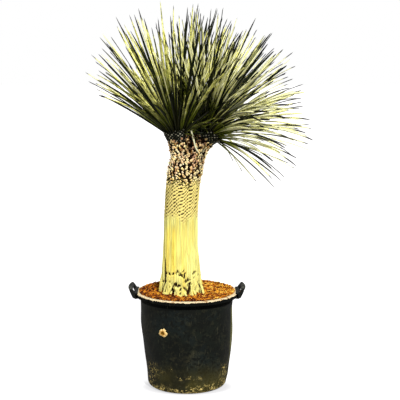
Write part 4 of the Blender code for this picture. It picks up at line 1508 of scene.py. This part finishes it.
def make_stem(finish):
    """The stem: rings whose radius is that of the outline plus the relief, closed at the buried foot and at
    the top."""
    heights = [np.linspace(low, high, count, endpoint=False) for low, high, count in STEM_ROWS]
    heights = np.append(np.concatenate(heights), STEM_LINE[-1][0])
    local = full_turn(STEM_COLUMNS)
    angle, height = np.meshgrid(local, heights)
    relief, marks = stem_marks(angle, height, angle + math.radians(PLANT_TURN))
    drift, radius = limb_at(STEM_LINE, height)
    rings = turned_points(radius + relief, angle, height)
    rings[..., 0] += drift
    stub = turned_points(STUB_RADIUS, local, np.array([[STUB_FOOT], [heights[0]]]))
    points = capped_points(np.concatenate([stub, rings]), (0, 0, STUB_FOOT), (drift[-1, 0], 0, heights[-1]))
    faces = capped_faces(len(heights) + 2, STEM_COLUMNS)
    padding = np.zeros(2 * STEM_COLUMNS)
    marks = {key: np.concatenate([padding, value.ravel(), [0, 0]]) for key, value in marks.items()}
    points = placed(points, plant_frame())
    return make_piece("stem", points, faces, finish, ("trunk",), marks=marks)


def tube_frames(line, at):
    """Centres, radii, forward and side vectors of a limb, whose axis runs in the plant's XZ plane, at shares
    of its height."""
    low, high = line[0][0], line[-1][0]
    height = low + (high - low) * at
    drift, radius = limb_at(line, height)
    step = 0.002
    slope = (limb_at(line, height + step)[0] - limb_at(line, height - step)[0]) / (2 * step)
    edge = (height + step > high) | (height - step < low)
    slope = np.where(edge, 2 * slope, slope)
    along = unit(points_at(slope, 0, 1))
    return points_at(drift, 0, height), radius, along, points_at(along[..., 2], 0, -along[..., 0])


def tube_points(line, at, angle, out=0.0):
    """Surface points of a limb and their outward and forward vectors."""
    centre, radius, along, side = tube_frames(line, at)
    outward = side * np.cos(angle)[..., None] + np.array([0, 1.0, 0]) * np.sin(angle)[..., None]
    return centre + outward * (radius + out)[..., None], outward, along


def make_arms(finish):
    """The two arms of the fork: tubes with a knobbly relief, closed at both ends."""
    columns, rows = 96, 56
    angle, at = np.meshgrid(full_turn(columns), np.linspace(0, 1, rows))
    shapes, knobs = [], []
    for seed, line in ((SEEDS["left_arm"], LEFT_ARM), (SEEDS["right_arm"], RIGHT_ARM)):
        bumps = swell(np.random.default_rng(seed), angle, at * 30, (5, 24), waves=14)
        points, _, _ = tube_points(line, at, angle, 0.0012 * bumps - 0.003)
        shapes.append(capped_points(points, *tube_frames(line, np.array([0.0, 1.0]))[0]))
        knobs.append(np.append(bumps, [0, 0]))
    knobs = np.concatenate(knobs)
    rough = np.tile(np.append(np.ones(rows * columns), [0, 0]), 2)
    marks = {"pit": 0.5 * np.clip(knobs, 0, 1), "net": 0 * knobs, "rough": rough, "streak": 0 * knobs}
    points = placed(np.concatenate(shapes), plant_frame())
    faces = repeated(capped_faces(rows, columns), rows * columns + 2, 2)
    return make_piece("fork_arms", points, faces, finish, ("trunk",), marks=marks)


def make_roots(settings, finish):
    """Surface roots: strands that leave the stem's side, splay and dive into the bark.

    Along a root, t is 0 at its top and 1 at its foot; it stands off the stem by the reach times t^2.4.
    """
    rng = np.random.default_rng(SEEDS["roots"])
    count = settings.roots
    bearing = 360 * (np.arange(count) + rng.uniform(-0.3, 0.3, count)) / count
    top = rng.uniform(0.440, 0.490, count)
    reach = rng.uniform(0.008, 0.022, count)
    thick = rng.uniform(0.0030, 0.0055, count)
    for k, strand in enumerate(MAIN_ROOTS):
        bearing[k], top[k], reach[k], thick[k] = strand
    foot_bearing = bearing + rng.uniform(-16, 16, count)
    foot_bearing[0] = MAIN_ROOTS[0][0] - 8
    rows, columns = 16, 10
    t = np.linspace(0, 1, rows)
    height = top[:, None] + (ROOT_FOOT - top[:, None]) * t
    turn = around(bearing[:, None] + (foot_bearing - bearing)[:, None] * t**1.5)
    wave = 0.0022 * np.sin(7 * t + rng.uniform(0, 6, count)[:, None])
    _, stem = limb_at(STEM_LINE, height)
    radius = stem - 0.004 + thick[:, None] * t + reach[:, None] * t**2.4 + wave
    centre = turned_points(radius, turn, height)
    centre[..., :2] += np.array(PLANT_PLACE)
    along = unit(np.gradient(centre, axis=1))
    side = unit(np.cross(along, turned_points(1, turn, 0)))
    outward = np.cross(side, along)
    ring = full_turn(columns)[:, None]
    size = thick[:, None] * (0.45 + 0.75 * np.sin(math.pi * (0.12 + 0.62 * t)))
    round_it = outward[:, :, None] * np.cos(ring) + side[:, :, None] * np.sin(ring)
    rings = centre[:, :, None] + size[..., None, None] * round_it
    points = capped_points(rings, centre[:, 0], centre[:, -1])
    faces = repeated(capped_faces(rows, columns), rows * columns + 2, count)
    marks = dict.fromkeys(("pit", "net", "rough", "streak"), np.zeros(points.size // 3))
    return make_piece("surface_roots", points, faces, finish, ("trunk",), marks=marks)


# Cut leaf bases


def inside_tube(points, line, margin):
    """Whether points of the plant's frame lie deeper than margin inside a limb."""
    height = np.clip(points[..., 2], line[0][0], line[-1][0])
    drift, radius = limb_at(line, height)
    off = np.hypot(points[..., 0] - drift, points[..., 1])
    beyond = np.abs(points[..., 2] - height)
    return (off < radius - margin) & (beyond < 0.004)


def over_tip(arm):
    """An arm's line carried on over the foot of the growing tip that it bears."""
    z, x, radius, tilt = arm_end(arm)
    return (*arm, *((z + h * math.cos(tilt), x + h * math.sin(tilt), radius * s) for h, s in TIP_LINE[1:3]))


def base_rows(line, low, high, columns, rng):
    """Roots of leaf bases in alternate rows up a tube, from one height to another, with outward and forward
    vectors and the angle of each round the tube."""
    row_count = int((high - low) / BASE_PITCH)
    row, column = np.meshgrid(np.arange(row_count), np.arange(columns), indexing="ij")
    height = low + (high - low) * (row + rng.uniform(-0.25, 0.25, row.shape)) / row_count
    at = (height - line[0][0]) / (line[-1][0] - line[0][0])
    angle = math.tau * (column + 0.5 * (row % 2) + rng.uniform(-0.18, 0.18, row.shape)) / columns
    points, outward, along = tube_points(line, np.clip(at, 0, 1), angle)
    return points.reshape(-1, 3), outward.reshape(-1, 3), along.reshape(-1, 3), angle.ravel()


def fork_roots(rng):
    """Roots, outward and forward vectors of the leaf bases that stand in rows between the two arms."""
    low, step, rows = FORK_ROWS
    depth, count = FORK_ACROSS
    z, y = np.meshgrid(low + step * np.arange(rows), np.linspace(-depth, depth, count))
    z, y = z.ravel() + rng.uniform(-0.003, 0.003, z.size), y.ravel() + rng.uniform(-0.003, 0.003, z.size)
    x = np.interp(z, *zip(*FORK_MIDDLE)) + rng.uniform(-0.004, 0.004, len(z))
    return [points_at(x, y, z), points_at(0, np.sign(y), 0), points_at(0 * y, 0, 1)]


def base_roots(rng):
    """Roots, outward and forward vectors of all the cut leaf bases that stand clear of the other limbs."""
    left_line = over_tip(LEFT_ARM)
    sets = [
        base_rows(STEM_LINE, ROUGH_ZONE[0] - 0.014, 1.075, BASE_COLUMNS[0], rng),
        base_rows(left_line, ARM_BASES_FROM, left_line[-1][0] - 0.004, BASE_COLUMNS[1], rng),
        base_rows(RIGHT_ARM, ARM_BASES_FROM, RIGHT_ARM[-1][0] - 0.001, BASE_COLUMNS[2], rng),
    ]
    others = ([LEFT_ARM, RIGHT_ARM], [STEM_LINE, RIGHT_ARM], [STEM_LINE, LEFT_ARM])
    kept = [fork_roots(rng)]
    for limb, ((points, outward, along, angle), solids) in enumerate(zip(sets, others)):
        clear = np.ones(len(points), bool)
        for solid in solids:
            clear &= ~inside_tube(points, solid, 0.004)
        if limb == 1:
            clear &= points[:, 2] < LEFT_ARM[-1][0] + 0.030 * (0.5 + 0.5 * np.cos(angle)) - 0.002
        kept.append([values[clear] for values in (points, outward, along)])
    return [np.concatenate(values) for values in zip(*kept)]


def make_cut_bases(settings, finish):
    """Old leaf bases cut short: a flat lens section drawn along each base, ending in a slanted, inset cut.

    They grow from small scars at the foot of the zone to full size above it.
    """
    rng = np.random.default_rng(SEEDS["cut_bases"])
    root, outward, along = base_roots(rng)
    count = len(root)
    side = unit(np.cross(outward, along))
    grown = smoothstep(ROUGH_ZONE[0] - 0.01, ROUGH_ZONE[1] + 0.02, root[:, 2])
    out_share = rng.uniform(0.40, 0.95, count)[:, None] * (0.6 + 0.4 * grown[:, None])
    lean = (rng.choice((-1, 1), count) * rng.uniform(0.25, 1.25, count))[:, None]
    direction = unit(along + outward * out_share + side * lean)
    across = unit(np.cross(direction, outward))
    face = np.cross(across, direction)
    length = settings.stub_length * rng.uniform(0.80, 1.45, count) * (0.42 + 0.58 * grown)
    root = root - outward * (0.0045 - 0.0015 * grown[:, None])
    width = rng.uniform(0.0068, 0.0125, count) * (0.80 + 0.20 * grown)
    thick = rng.uniform(0.0040, 0.0062, count)
    lens = -math.tau * (np.arange(STUB_SIDES) + 0.5) / STUB_SIDES
    slant = rng.uniform(-0.9, 0.3, count)
    place, wide, deep, share, is_cut = np.array(STUB_STATIONS).T
    x = np.cos(lens) * (width[:, None] * wide)[..., None] / 2
    y = np.sin(lens) * (thick[:, None] * deep)[..., None] / 2
    z = (length[:, None] * place)[..., None] + y * slant[:, None, None] * share[:, None] * 1.6
    root, across, face, direction = (vectors[:, None, None] for vectors in (root, across, face, direction))
    rings = root + (across * x[..., None] + face * y[..., None]) + direction * z[..., None]
    heel, middle = (root + direction * (length * at)[:, None, None, None] for at in (-0.20, 0.96))
    points = capped_points(rings, heel[:, 0, 0], middle[:, 0, 0])
    size = points.shape[1]
    x, _, z = root[:, 0, 0].T
    # Painted shade: bases in the deep furrow between the arms are darker; all bases also darken towards the
    # crowns
    furrow_shade = bell(x - np.interp(z, *zip(*SHADED_FURROW)), FURROW_WIDTH) * smoothstep(0.94, 1.0, z)
    tone = np.clip(rng.beta(1.9, 0.9, count) - 0.82 * furrow_shade - 0.45 * smoothstep(1.03, 1.11, z), 0, 1)
    marks = {
        "cut": np.tile(np.append(np.repeat(is_cut, STUB_SIDES), [0, 1]), count),
        "along": np.tile(np.append(np.repeat(share, STUB_SIDES), [0, 1]), count),
        "tone": np.repeat(tone, size),
        "gold": np.repeat(0.85 * (1 - grown), size),
    }
    points = placed(points, plant_frame())
    faces = repeated(capped_faces(len(STUB_STATIONS), STUB_SIDES), size, count)
    return make_piece(
        "cut_leaf_bases", points, faces, finish, ("trunk",), smooth=False, marks=marks
    )


# Crowns


def crown_frame(arm):
    """World matrix of a crown, whose origin is the end of its arm and whose +Z runs along the arm's last
    stretch, and the arm's radius there."""
    z, x, radius, tilt = arm_end(arm)
    return plant_frame() @ Matrix.Translation((x, 0, z)) @ Matrix.Rotation(tilt, 4, "Y"), radius


def in_crown(matrix, direction):
    """A direction of the world in a crown's own frame."""
    return np.array(matrix.inverted().to_3x3() @ Vector(direction))


def tip_radius(arm_radius, height):
    """Radius of a crown's growing tip at a height above its arm."""
    heights, shares = zip(*TIP_LINE)
    return arm_radius * spline(heights, shares, height)


def make_collar(name, arm, finish):
    """The growing tip: live leaf bases as raised diamonds in a net, each highest near its upper corner."""
    matrix, arm_radius = crown_frame(arm)
    rng = np.random.default_rng(SEEDS[name])
    columns, net_rows = 260, 80
    heights = np.concatenate([np.linspace(-0.004, 0.074, 66)[:-1], np.linspace(0.074, 0.0965, 19)])
    angle, height = np.meshgrid(full_turn(columns), heights)
    rising, falling, row, column = lattice(angle, height, COLLAR_COLUMNS, COLLAR_PITCH)
    off = 2 * np.maximum(np.abs(rising), np.abs(falling))
    upward = falling - rising
    bulge = np.clip(1 - off, 0, 1) ** 0.55 * (0.75 + 0.5 * upward)
    sizes = rng.uniform(0.7, 1.2, (net_rows, 2 * COLLAR_COLUMNS))[row % net_rows, column]
    fade = smoothstep(0.093, 0.080, height)
    radius = tip_radius(arm_radius, np.maximum(height, 0)) + COLLAR_RELIEF * (bulge * sizes - 0.35) * fade
    # Painted highlight: a grey-white glint in each diamond's middle, of its own strength, only on the lower
    # part
    glint_strength = rng.uniform(0.35, 1.15, (net_rows, 2 * COLLAR_COLUMNS))[row % net_rows, column]
    glint_strength = glint_strength * smoothstep(0.075, 0.045, height)
    middle = np.clip(1 - np.hypot(rising, falling) / 0.46, 0, 1)
    marks = {"middle": np.append(middle, [0, 0]), "glint_strength": np.append(glint_strength, [0, 0])}
    rings = turned_points(radius, angle, height)
    points = placed(capped_points(rings, (0, 0, heights[0]), (0, 0, heights[-1] + 0.0008)), matrix)
    faces = capped_faces(len(heights), columns)
    return make_piece(name, points, faces, finish, (name.replace("_collar", "_crown"),), marks=marks)


def blades(spine, width, depth, facing, roll):
    """Stiff narrow blades along spines of shape (blade, station, 3): a four-cornered section with thin edges
    and a keel underneath. Width runs over the stations of each blade, and every blade ends in a point."""
    along = unit(np.gradient(spine, axis=1))
    upper = unit(facing - along * (facing * along).sum(axis=-1, keepdims=True))
    side = np.cross(along, upper)
    turned_side = side * np.cos(roll) + upper * np.sin(roll)
    turned_upper = upper * np.cos(roll) - side * np.sin(roll)
    half = width[..., None] / 2
    corners = [
        spine - turned_side * half,
        spine + turned_upper * depth * 0.35,
        spine + turned_side * half,
        spine - turned_upper * depth,
    ]
    body = np.stack(corners, axis=2)[:, :-1]
    count, stations = body.shape[:2]
    points = capped_points(body, spine[:, 0], spine[:, -1])
    size = points.shape[1]
    edge = np.tile(np.append(np.tile([1.0, 0.0, 1.0, 0.0], stations), [0, 0]), count)
    reach = np.append(np.repeat(np.linspace(0, 1, stations + 1)[:-1], 4), [0, 1])
    return points, repeated(capped_faces(stations, 4), size, count), edge, np.tile(reach, count), size


def crown_leaves(settings, kind, count, matrix, arm_radius, rng, extra):
    """Spines, widths, shares and directions of a crown's leaves in the crown's frame.

    Leaf k leaves at k golden angles, opening as arccos(1 - share (1 - cos spread)), so the tips are evenly
    spread. A leaf bows up between its root and its tip as 4t(1 - t) and sags away from the sky as t^2, both
    most where it is level. Each row of extra is the azimuth, opening, relative length and share of one more
    leaf.
    """
    share = (np.arange(count) + 0.5) / count
    azimuth = GOLDEN_ANGLE * np.arange(count) + rng.normal(0, 0.16, count)
    polar = np.arccos(1 - share * (1 - math.cos(math.radians(kind["spread"]))))
    polar = polar + np.radians(rng.normal(0, 2.8, count))
    short = rng.uniform(0, 1, count) < SHORT_LEAVES
    size = np.where(short, rng.uniform(0.50, 0.86, count), rng.uniform(0.88, 1.04, count))
    azimuth, polar, size, share = np.concatenate([np.stack([azimuth, polar, size, share], axis=-1), extra]).T
    total = len(share)
    outward = turned_points(1, azimuth, 0)
    direction = outward * np.sin(polar)[:, None] + UP * np.cos(polar)[:, None]
    up = in_crown(matrix, UP)
    height = LEAF_CROWN - (LEAF_CROWN - LEAF_FOOT) * np.minimum(share, 1) ** 0.8
    radius = tip_radius(arm_radius, height) - LEAF_SUNK
    root = outward * radius[:, None] + height[:, None] * UP - direction * LEAF_SUNK
    rising = direction @ up
    length = size * settings.size * np.interp(rising, *zip(*kind["lengths"]))
    t = LEAF_STATIONS
    level = (1 - rising**2) * length
    bow = 4 * rng.uniform(0.015, 0.095, total) * level
    sag = kind["droop"] * rng.uniform(0.5, 1.9, total) * level
    lift = bow[:, None] * t * (1 - t) - sag[:, None] * t**2
    sway = unit(np.cross(direction, up)) * (rng.normal(0, 0.048, total) * length)[:, None]
    spine = root[:, None] + direction[:, None] * (length[:, None] * t)[..., None]
    spine = spine + up * lift[..., None] + sway[:, None] * (t**2)[None, :, None]
    width = settings.width * rng.uniform(0.82, 1.12, total)[:, None] * np.interp(t, *zip(*LEAF_PROFILE))
    return spine, width, share, direction


def gap_leaves(rng, facing, low, high, sizes, count):
    """Short leaves that lean into the gap between the crowns: azimuths to both sides of the facing one."""
    off = np.where(np.arange(count) % 2, 1, -1) * rng.uniform(0, 80, count)
    opening = np.radians(rng.uniform(low, high, count))
    sizes = rng.uniform(*sizes, count)
    return np.stack([np.radians(facing + off), opening, sizes, np.full(count, IN_GAP)], axis=-1)


def more_leaves(rng, facing, sideways, low, high, sizes, count):
    """More leaves scattered round one azimuth, with openings between low and high, all in degrees."""
    azimuth = np.radians(rng.normal(facing, sideways, count))
    opening = np.radians(rng.uniform(low, high, count))
    return np.stack([azimuth, opening, rng.uniform(*sizes, count), rng.uniform(0.5, 0.95, count)], axis=-1)


def hanging_leaves(count):
    """A fan of leaves that stand out level or hang at the right crown's outer side."""
    step = (np.arange(count) + 0.5) / count - 0.5
    opening = np.radians(80 + 10 * np.cos(2.4 * np.arange(count)))
    return np.stack([math.radians(108) * step, opening, np.ones(count), np.full(count, HANGING)], axis=-1)


def left_extra(rng):
    """The left crown's leaves beyond its spiral: in the gap, at the front and at the outer side."""
    gap = [gap_leaves(rng, 0, 46, 74, (0.5, 0.8), 38), gap_leaves(rng, 0, 72, 104, (0.22, 0.50), 26)]
    outer = more_leaves(rng, 180, 34, 36, 50, (0.96, 1.06), 12)
    front = more_leaves(rng, FRONT_AZIMUTH, 34, 22, 60, (0.5, 0.96), 22)
    return np.concatenate([*gap, front, outer])


def right_extra(rng):
    """The right crown's leaves beyond its spiral: hanging, in the gap, at the front and at the upper left."""
    gap = [gap_leaves(rng, 180, 58, 88, (0.5, 0.8), 38), gap_leaves(rng, 180, 84, 108, (0.20, 0.42), 26)]
    front = more_leaves(rng, FRONT_AZIMUTH, 34, 20, 74, (0.5, 0.96), 124)
    upper = more_leaves(rng, 180, 60, 4, 40, (0.82, 1.02), 38)
    return np.concatenate([hanging_leaves(13), *gap, front, upper])


def make_leaves(name, settings, finish):
    """One crown's leaves, each with its own tone: near black as painted shade, olive, lime as painted
    sunlight, or faded, most with a black end.

    In the left crown the leaves that reach towards the camera are darker, a painted shade. In the right one
    they are near black, a painted shade, or bright, a painted light, and most of those that point to the
    right are bright as painted sunlight, slim, and partly pale cream as a painted highlight. In both the
    leaves in the gap are darker.
    """
    left = name == "left_leaves"
    kind = CROWNS[name]
    matrix, arm_radius = crown_frame(kind["arm"])
    rng = np.random.default_rng(SEEDS[name])
    count = settings.left_count if left else settings.right_count
    extra = left_extra(rng) if left else right_extra(rng)
    spine, width, share, direction = crown_leaves(settings, kind, count, matrix, arm_radius, rng, extra)
    total = len(share)
    roll = (rng.choice((-1, 1), total) * rng.uniform(0.30, 1.10, total))[:, None, None]
    lot = rng.uniform(0, 1, total)
    # A random tone per leaf: near black ones stand for leaves in painted shade, bright ones for sunlit leaves
    tone = np.interp(lot, (0, kind["dark"], kind["dark"] + 0.06, 0.58, 1.0), (0.0, 0.04, 0.46, 0.80, 1.0))
    tone = np.clip(tone + 0.20 * (np.minimum(share, 1) - 0.55) * (lot > 0.40), 0, 1)
    forward, rising, rightward = (direction @ in_crown(matrix, way) for way in ((0, -1, 0), UP, (1, 0, 0)))
    # Painted shade: leaves that reach towards the camera, and those in the gap between the crowns, are darker
    under = smoothstep(0.15, 0.50, forward) * smoothstep(0.86, 0.50, rising) * kind["under"]
    tone = np.where(share == IN_GAP, 0.4 * tone, tone * (1 - under))
    lit = sunlit = 0 * share
    if not left:
        # Painted light and shade of the right crown: leaves towards the camera turn near black, more often
        # the lower they point, or bright; leaves to the right are painted sunlit, with a shorter painted root
        # shade; steep ones are painted lighter; most hanging ones are darker
        split = smoothstep(0.12, 0.40, forward) * (share < 1)
        black = lot < np.interp(rising, (0.15, 0.60), (0.84, 0.58))
        tone = tone + 0.90 * split * (np.where(black, 0.0, 0.95) - tone)
        lit = smoothstep(0.35, 0.75, rightward) * (share < 1)
        sunlit = lit * (lot > 0.17)
        steep_painted_light = smoothstep(0.62, 0.85, rising) * (lot > 0.26)
        tone = np.clip(np.maximum(tone, 0.74 * sunlit) + 0.16 * steep_painted_light, 0, 1)
        tone = np.where((share == HANGING) & (lot < 0.7), 0.3 * tone, tone)
    width = width * (1 - lit[:, None] * np.interp(LEAF_STATIONS, *zip(*SUNLIT_THINNING)))
    points, faces, edge, along, size = blades(spine, width, LEAF_KEEL, UP + 0 * spine, roll)
    along = along + 0.13 * np.repeat(lit, size) * (1 - along)
    # Faded leaves bleach to pale cream; the right crown's sunlit leaves get it too, as a painted highlight
    faded = (share > kind["faded"]) & (share < 1) & (lot > 0.36) & (forward < 0.30)
    faded_and_sunlit = faded * rng.uniform(0.2, 0.9, total)
    if not left:
        faded_and_sunlit = np.maximum(faded_and_sunlit, sunlit * rng.uniform(0.1, 0.85, total))
    black_end = rng.uniform(0, 1, total) < kind["black_ends"]
    end = np.where(black_end, rng.uniform(0.66, 0.88, total), rng.uniform(0.90, 0.97, total))
    marks = {key: np.repeat(values, size) for key, values in {"tone": tone, "faded_and_sunlit": faded_and_sunlit, "end": end}.items()}
    marks = marks | {"edge": edge, "along": along}
    crown = name.replace("_leaves", "_crown")
    return make_piece(name, placed(points, matrix), faces, finish, (crown,), marks=marks)


def make_faded_leaf(finish):
    """The bleached leaf: a blade along a curve that leaves the left crown, folds and hangs in the fork."""
    path = np.array(FADED_LEAF)
    steps = np.concatenate([[0], np.cumsum(np.linalg.norm(np.diff(path, axis=0), axis=1))])
    at = np.linspace(0, steps[-1], 30)
    spine = np.stack([spline(steps, path[:, k], at) for k in range(3)], axis=-1)[None]
    width = FADED_WIDTH * np.interp(at / steps[-1], *zip(*FADED_PROFILE))[None]
    facing = np.array([0, -1.0, 0.35]) + 0 * spine
    points, faces, edge, along, _ = blades(spine, width, FADED_KEEL, facing, np.zeros((1, 1, 1)))
    points = placed(points, plant_frame())
    marks = {"edge": edge, "along": along}
    return make_piece("faded_leaf", points, faces, finish, ("left_crown",), marks=marks)


# Stage


def make_floor(finish):
    """A level round floor, a little under the tub's underside."""
    columns = 96
    angle = full_turn(columns)
    points = np.concatenate([turned_points(FLOOR_RADIUS, angle, FLOOR_LEVEL), [[0, 0, FLOOR_LEVEL]]])
    mesh = bpy.data.meshes.new("floor")
    mesh.from_pydata(points.tolist(), [], fan_faces(np.arange(columns), columns).tolist())
    mesh.materials.append(finish)
    floor = bpy.data.objects.new("floor", mesh)
    bpy.context.scene.collection.objects.link(floor)


def make_world(settings):
    """Near-white to the camera, and a weaker even fill for everything else."""
    world = bpy.data.worlds.new("studio")
    world.use_nodes = True
    tree = world.node_tree
    background = tree.nodes["Background"]
    background.inputs[0].default_value = (1.0, 1.0, 1.0, 1)
    seen = node(tree, "ShaderNodeLightPath").outputs["Is Camera Ray"]
    extra = times(seen, 1.0 - settings.fill_strength)
    tree.links.new(plus(extra, settings.fill_strength), background.inputs[1])
    bpy.context.scene.world = world


def make_sun(name, strength, height, bearing, softness):
    """A sun lamp at this height above level and this bearing, all angles in degrees."""
    light = bpy.data.lights.new(name, "SUN")
    light.energy = strength
    light.angle = math.radians(softness)
    light.color = SUN_COLOUR
    sun = bpy.data.objects.new(name, light)
    sun.rotation_euler = (math.radians(90 - height), 0, math.radians(bearing))
    bpy.context.scene.collection.objects.link(sun)


def make_camera():
    """The camera: far in front, at the height of the crowns, tilted a little down."""
    lens = bpy.data.cameras.new("camera")
    lens.lens = CAMERA_LENS
    lens.sensor_width = SENSOR
    camera = bpy.data.objects.new("camera", lens)
    camera.location = CAMERA_PLACE
    camera.rotation_euler = (math.radians(90 - CAMERA_PITCH), 0, 0)
    bpy.context.scene.collection.objects.link(camera)
    bpy.context.scene.camera = camera


# Operators


class YUCCA_OT_tub(bpy.types.Operator):
    """Make the tub's shell and the patch of dried clay on it"""

    bl_idname = "yucca.tub"
    bl_label = "Tub"

    def execute(self, context):
        settings = context.scene.yucca_tub
        make_tub(settings, plastic_finish(settings))
        make_clay_patch(clay_finish(settings))
        return {"FINISHED"}


class YUCCA_OT_handles(bpy.types.Operator):
    """Make the two handle flaps on the rim"""

    bl_idname = "yucca.handles"
    bl_label = "Handles"

    def execute(self, context):
        finish = handle_finish(context.scene.yucca_tub)
        make_handle("right_handle_flap", "right_handle", False, finish)
        make_handle("left_handle_flap", "left_handle", True, finish)
        return {"FINISHED"}


class YUCCA_OT_bark(bpy.types.Operator):
    """Finish the soil and make the bed and the loose chips of bark"""

    bl_idname = "yucca.bark"
    bl_label = "Soil and bark"

    def execute(self, context):
        settings = context.scene.yucca_bark
        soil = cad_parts["potting_soil"]
        soil.data.materials.clear()
        soil.data.materials.append(soil_finish())
        # Painted shade: the bed under the chips is the bark at 0.45 of its brightness
        make_bark_bed(bark_finish(settings, "bark_bed", 0.45))
        make_bark_chips(settings, bark_finish(settings))
        return {"FINISHED"}


class YUCCA_OT_trunk(bpy.types.Operator):
    """Make the stem, the arms of the fork and the surface roots"""

    bl_idname = "yucca.trunk"
    bl_label = "Trunk"

    def execute(self, context):
        settings = context.scene.yucca_trunk
        finish = trunk_finish(settings)
        make_stem(finish)
        make_arms(finish)
        make_roots(settings, finish)
        return {"FINISHED"}


class YUCCA_OT_cut_bases(bpy.types.Operator):
    """Make the cut leaf bases round the upper trunk"""

    bl_idname = "yucca.cut_bases"
    bl_label = "Cut leaf bases"

    def execute(self, context):
        make_cut_bases(context.scene.yucca_trunk, stub_finish())
        return {"FINISHED"}


class YUCCA_OT_crowns(bpy.types.Operator):
    """Make the collars and leaves of both crowns, and the faded leaf"""

    bl_idname = "yucca.crowns"
    bl_label = "Crowns"

    def execute(self, context):
        settings = context.scene.yucca_leaf
        collar = collar_finish()
        make_collar("left_collar", LEFT_ARM, collar)
        make_collar("right_collar", RIGHT_ARM, collar)
        finish = leaf_finish(settings)
        make_leaves("left_leaves", settings, finish)
        make_leaves("right_leaves", settings, finish)
        make_faded_leaf(faded_finish())
        return {"FINISHED"}


class YUCCA_OT_stage(bpy.types.Operator):
    """Set up the floor, the light and the camera"""

    bl_idname = "yucca.stage"
    bl_label = "Stage"

    def execute(self, context):
        settings = context.scene.yucca_stage
        make_floor(floor_finish(settings))
        make_world(settings)
        make_sun("key_sun", settings.sun_strength, settings.sun_height, settings.sun_bearing, SUN_SOFTNESS)
        make_sun("side_light", settings.side_strength, *SIDE_LIGHT)
        make_camera()
        context.scene.view_settings.view_transform = "Standard"
        return {"FINISHED"}


class YUCCA_PT_panel(bpy.types.Panel):
    """Lists the pieces and their settings"""

    bl_label = "Yucca"
    bl_space_type = "VIEW_3D"
    bl_region_type = "UI"
    bl_category = "Yucca"

    def draw(self, context):
        layout = self.layout
        for operator in OPERATORS:
            layout.operator(operator.bl_idname)
        for attribute in SETTINGS:
            group = getattr(context.scene, attribute)
            for key in group.bl_rna.properties.keys():
                if key not in ("rna_type", "name"):
                    layout.prop(group, key)


SETTINGS = {
    "yucca_tub": TubSettings,
    "yucca_bark": BarkSettings,
    "yucca_trunk": TrunkSettings,
    "yucca_leaf": LeafSettings,
    "yucca_stage": StageSettings,
}
OPERATORS = (
    YUCCA_OT_tub,
    YUCCA_OT_handles,
    YUCCA_OT_bark,
    YUCCA_OT_trunk,
    YUCCA_OT_cut_bases,
    YUCCA_OT_crowns,
    YUCCA_OT_stage,
)


def register():
    """Registers the settings, the operators and the panel."""
    for attribute, group in SETTINGS.items():
        bpy.utils.register_class(group)
        setattr(bpy.types.Scene, attribute, PointerProperty(type=group))
    for panel_or_operator in (*OPERATORS, YUCCA_PT_panel):
        bpy.utils.register_class(panel_or_operator)


def unregister():
    """Takes them out again, in the opposite order."""
    for panel_or_operator in (YUCCA_PT_panel, *reversed(OPERATORS)):
        bpy.utils.unregister_class(panel_or_operator)
    for attribute, group in SETTINGS.items():
        delattr(bpy.types.Scene, attribute)
        bpy.utils.unregister_class(group)


def main():
    """Makes the node groups and every piece in order."""
    register()
    build_grain()
    build_blotches()
    for step in ("tub", "handles", "bark", "trunk", "cut_bases", "crowns", "stage"):
        getattr(bpy.ops.yucca, step)()


if __name__ == "__main__":
    main()
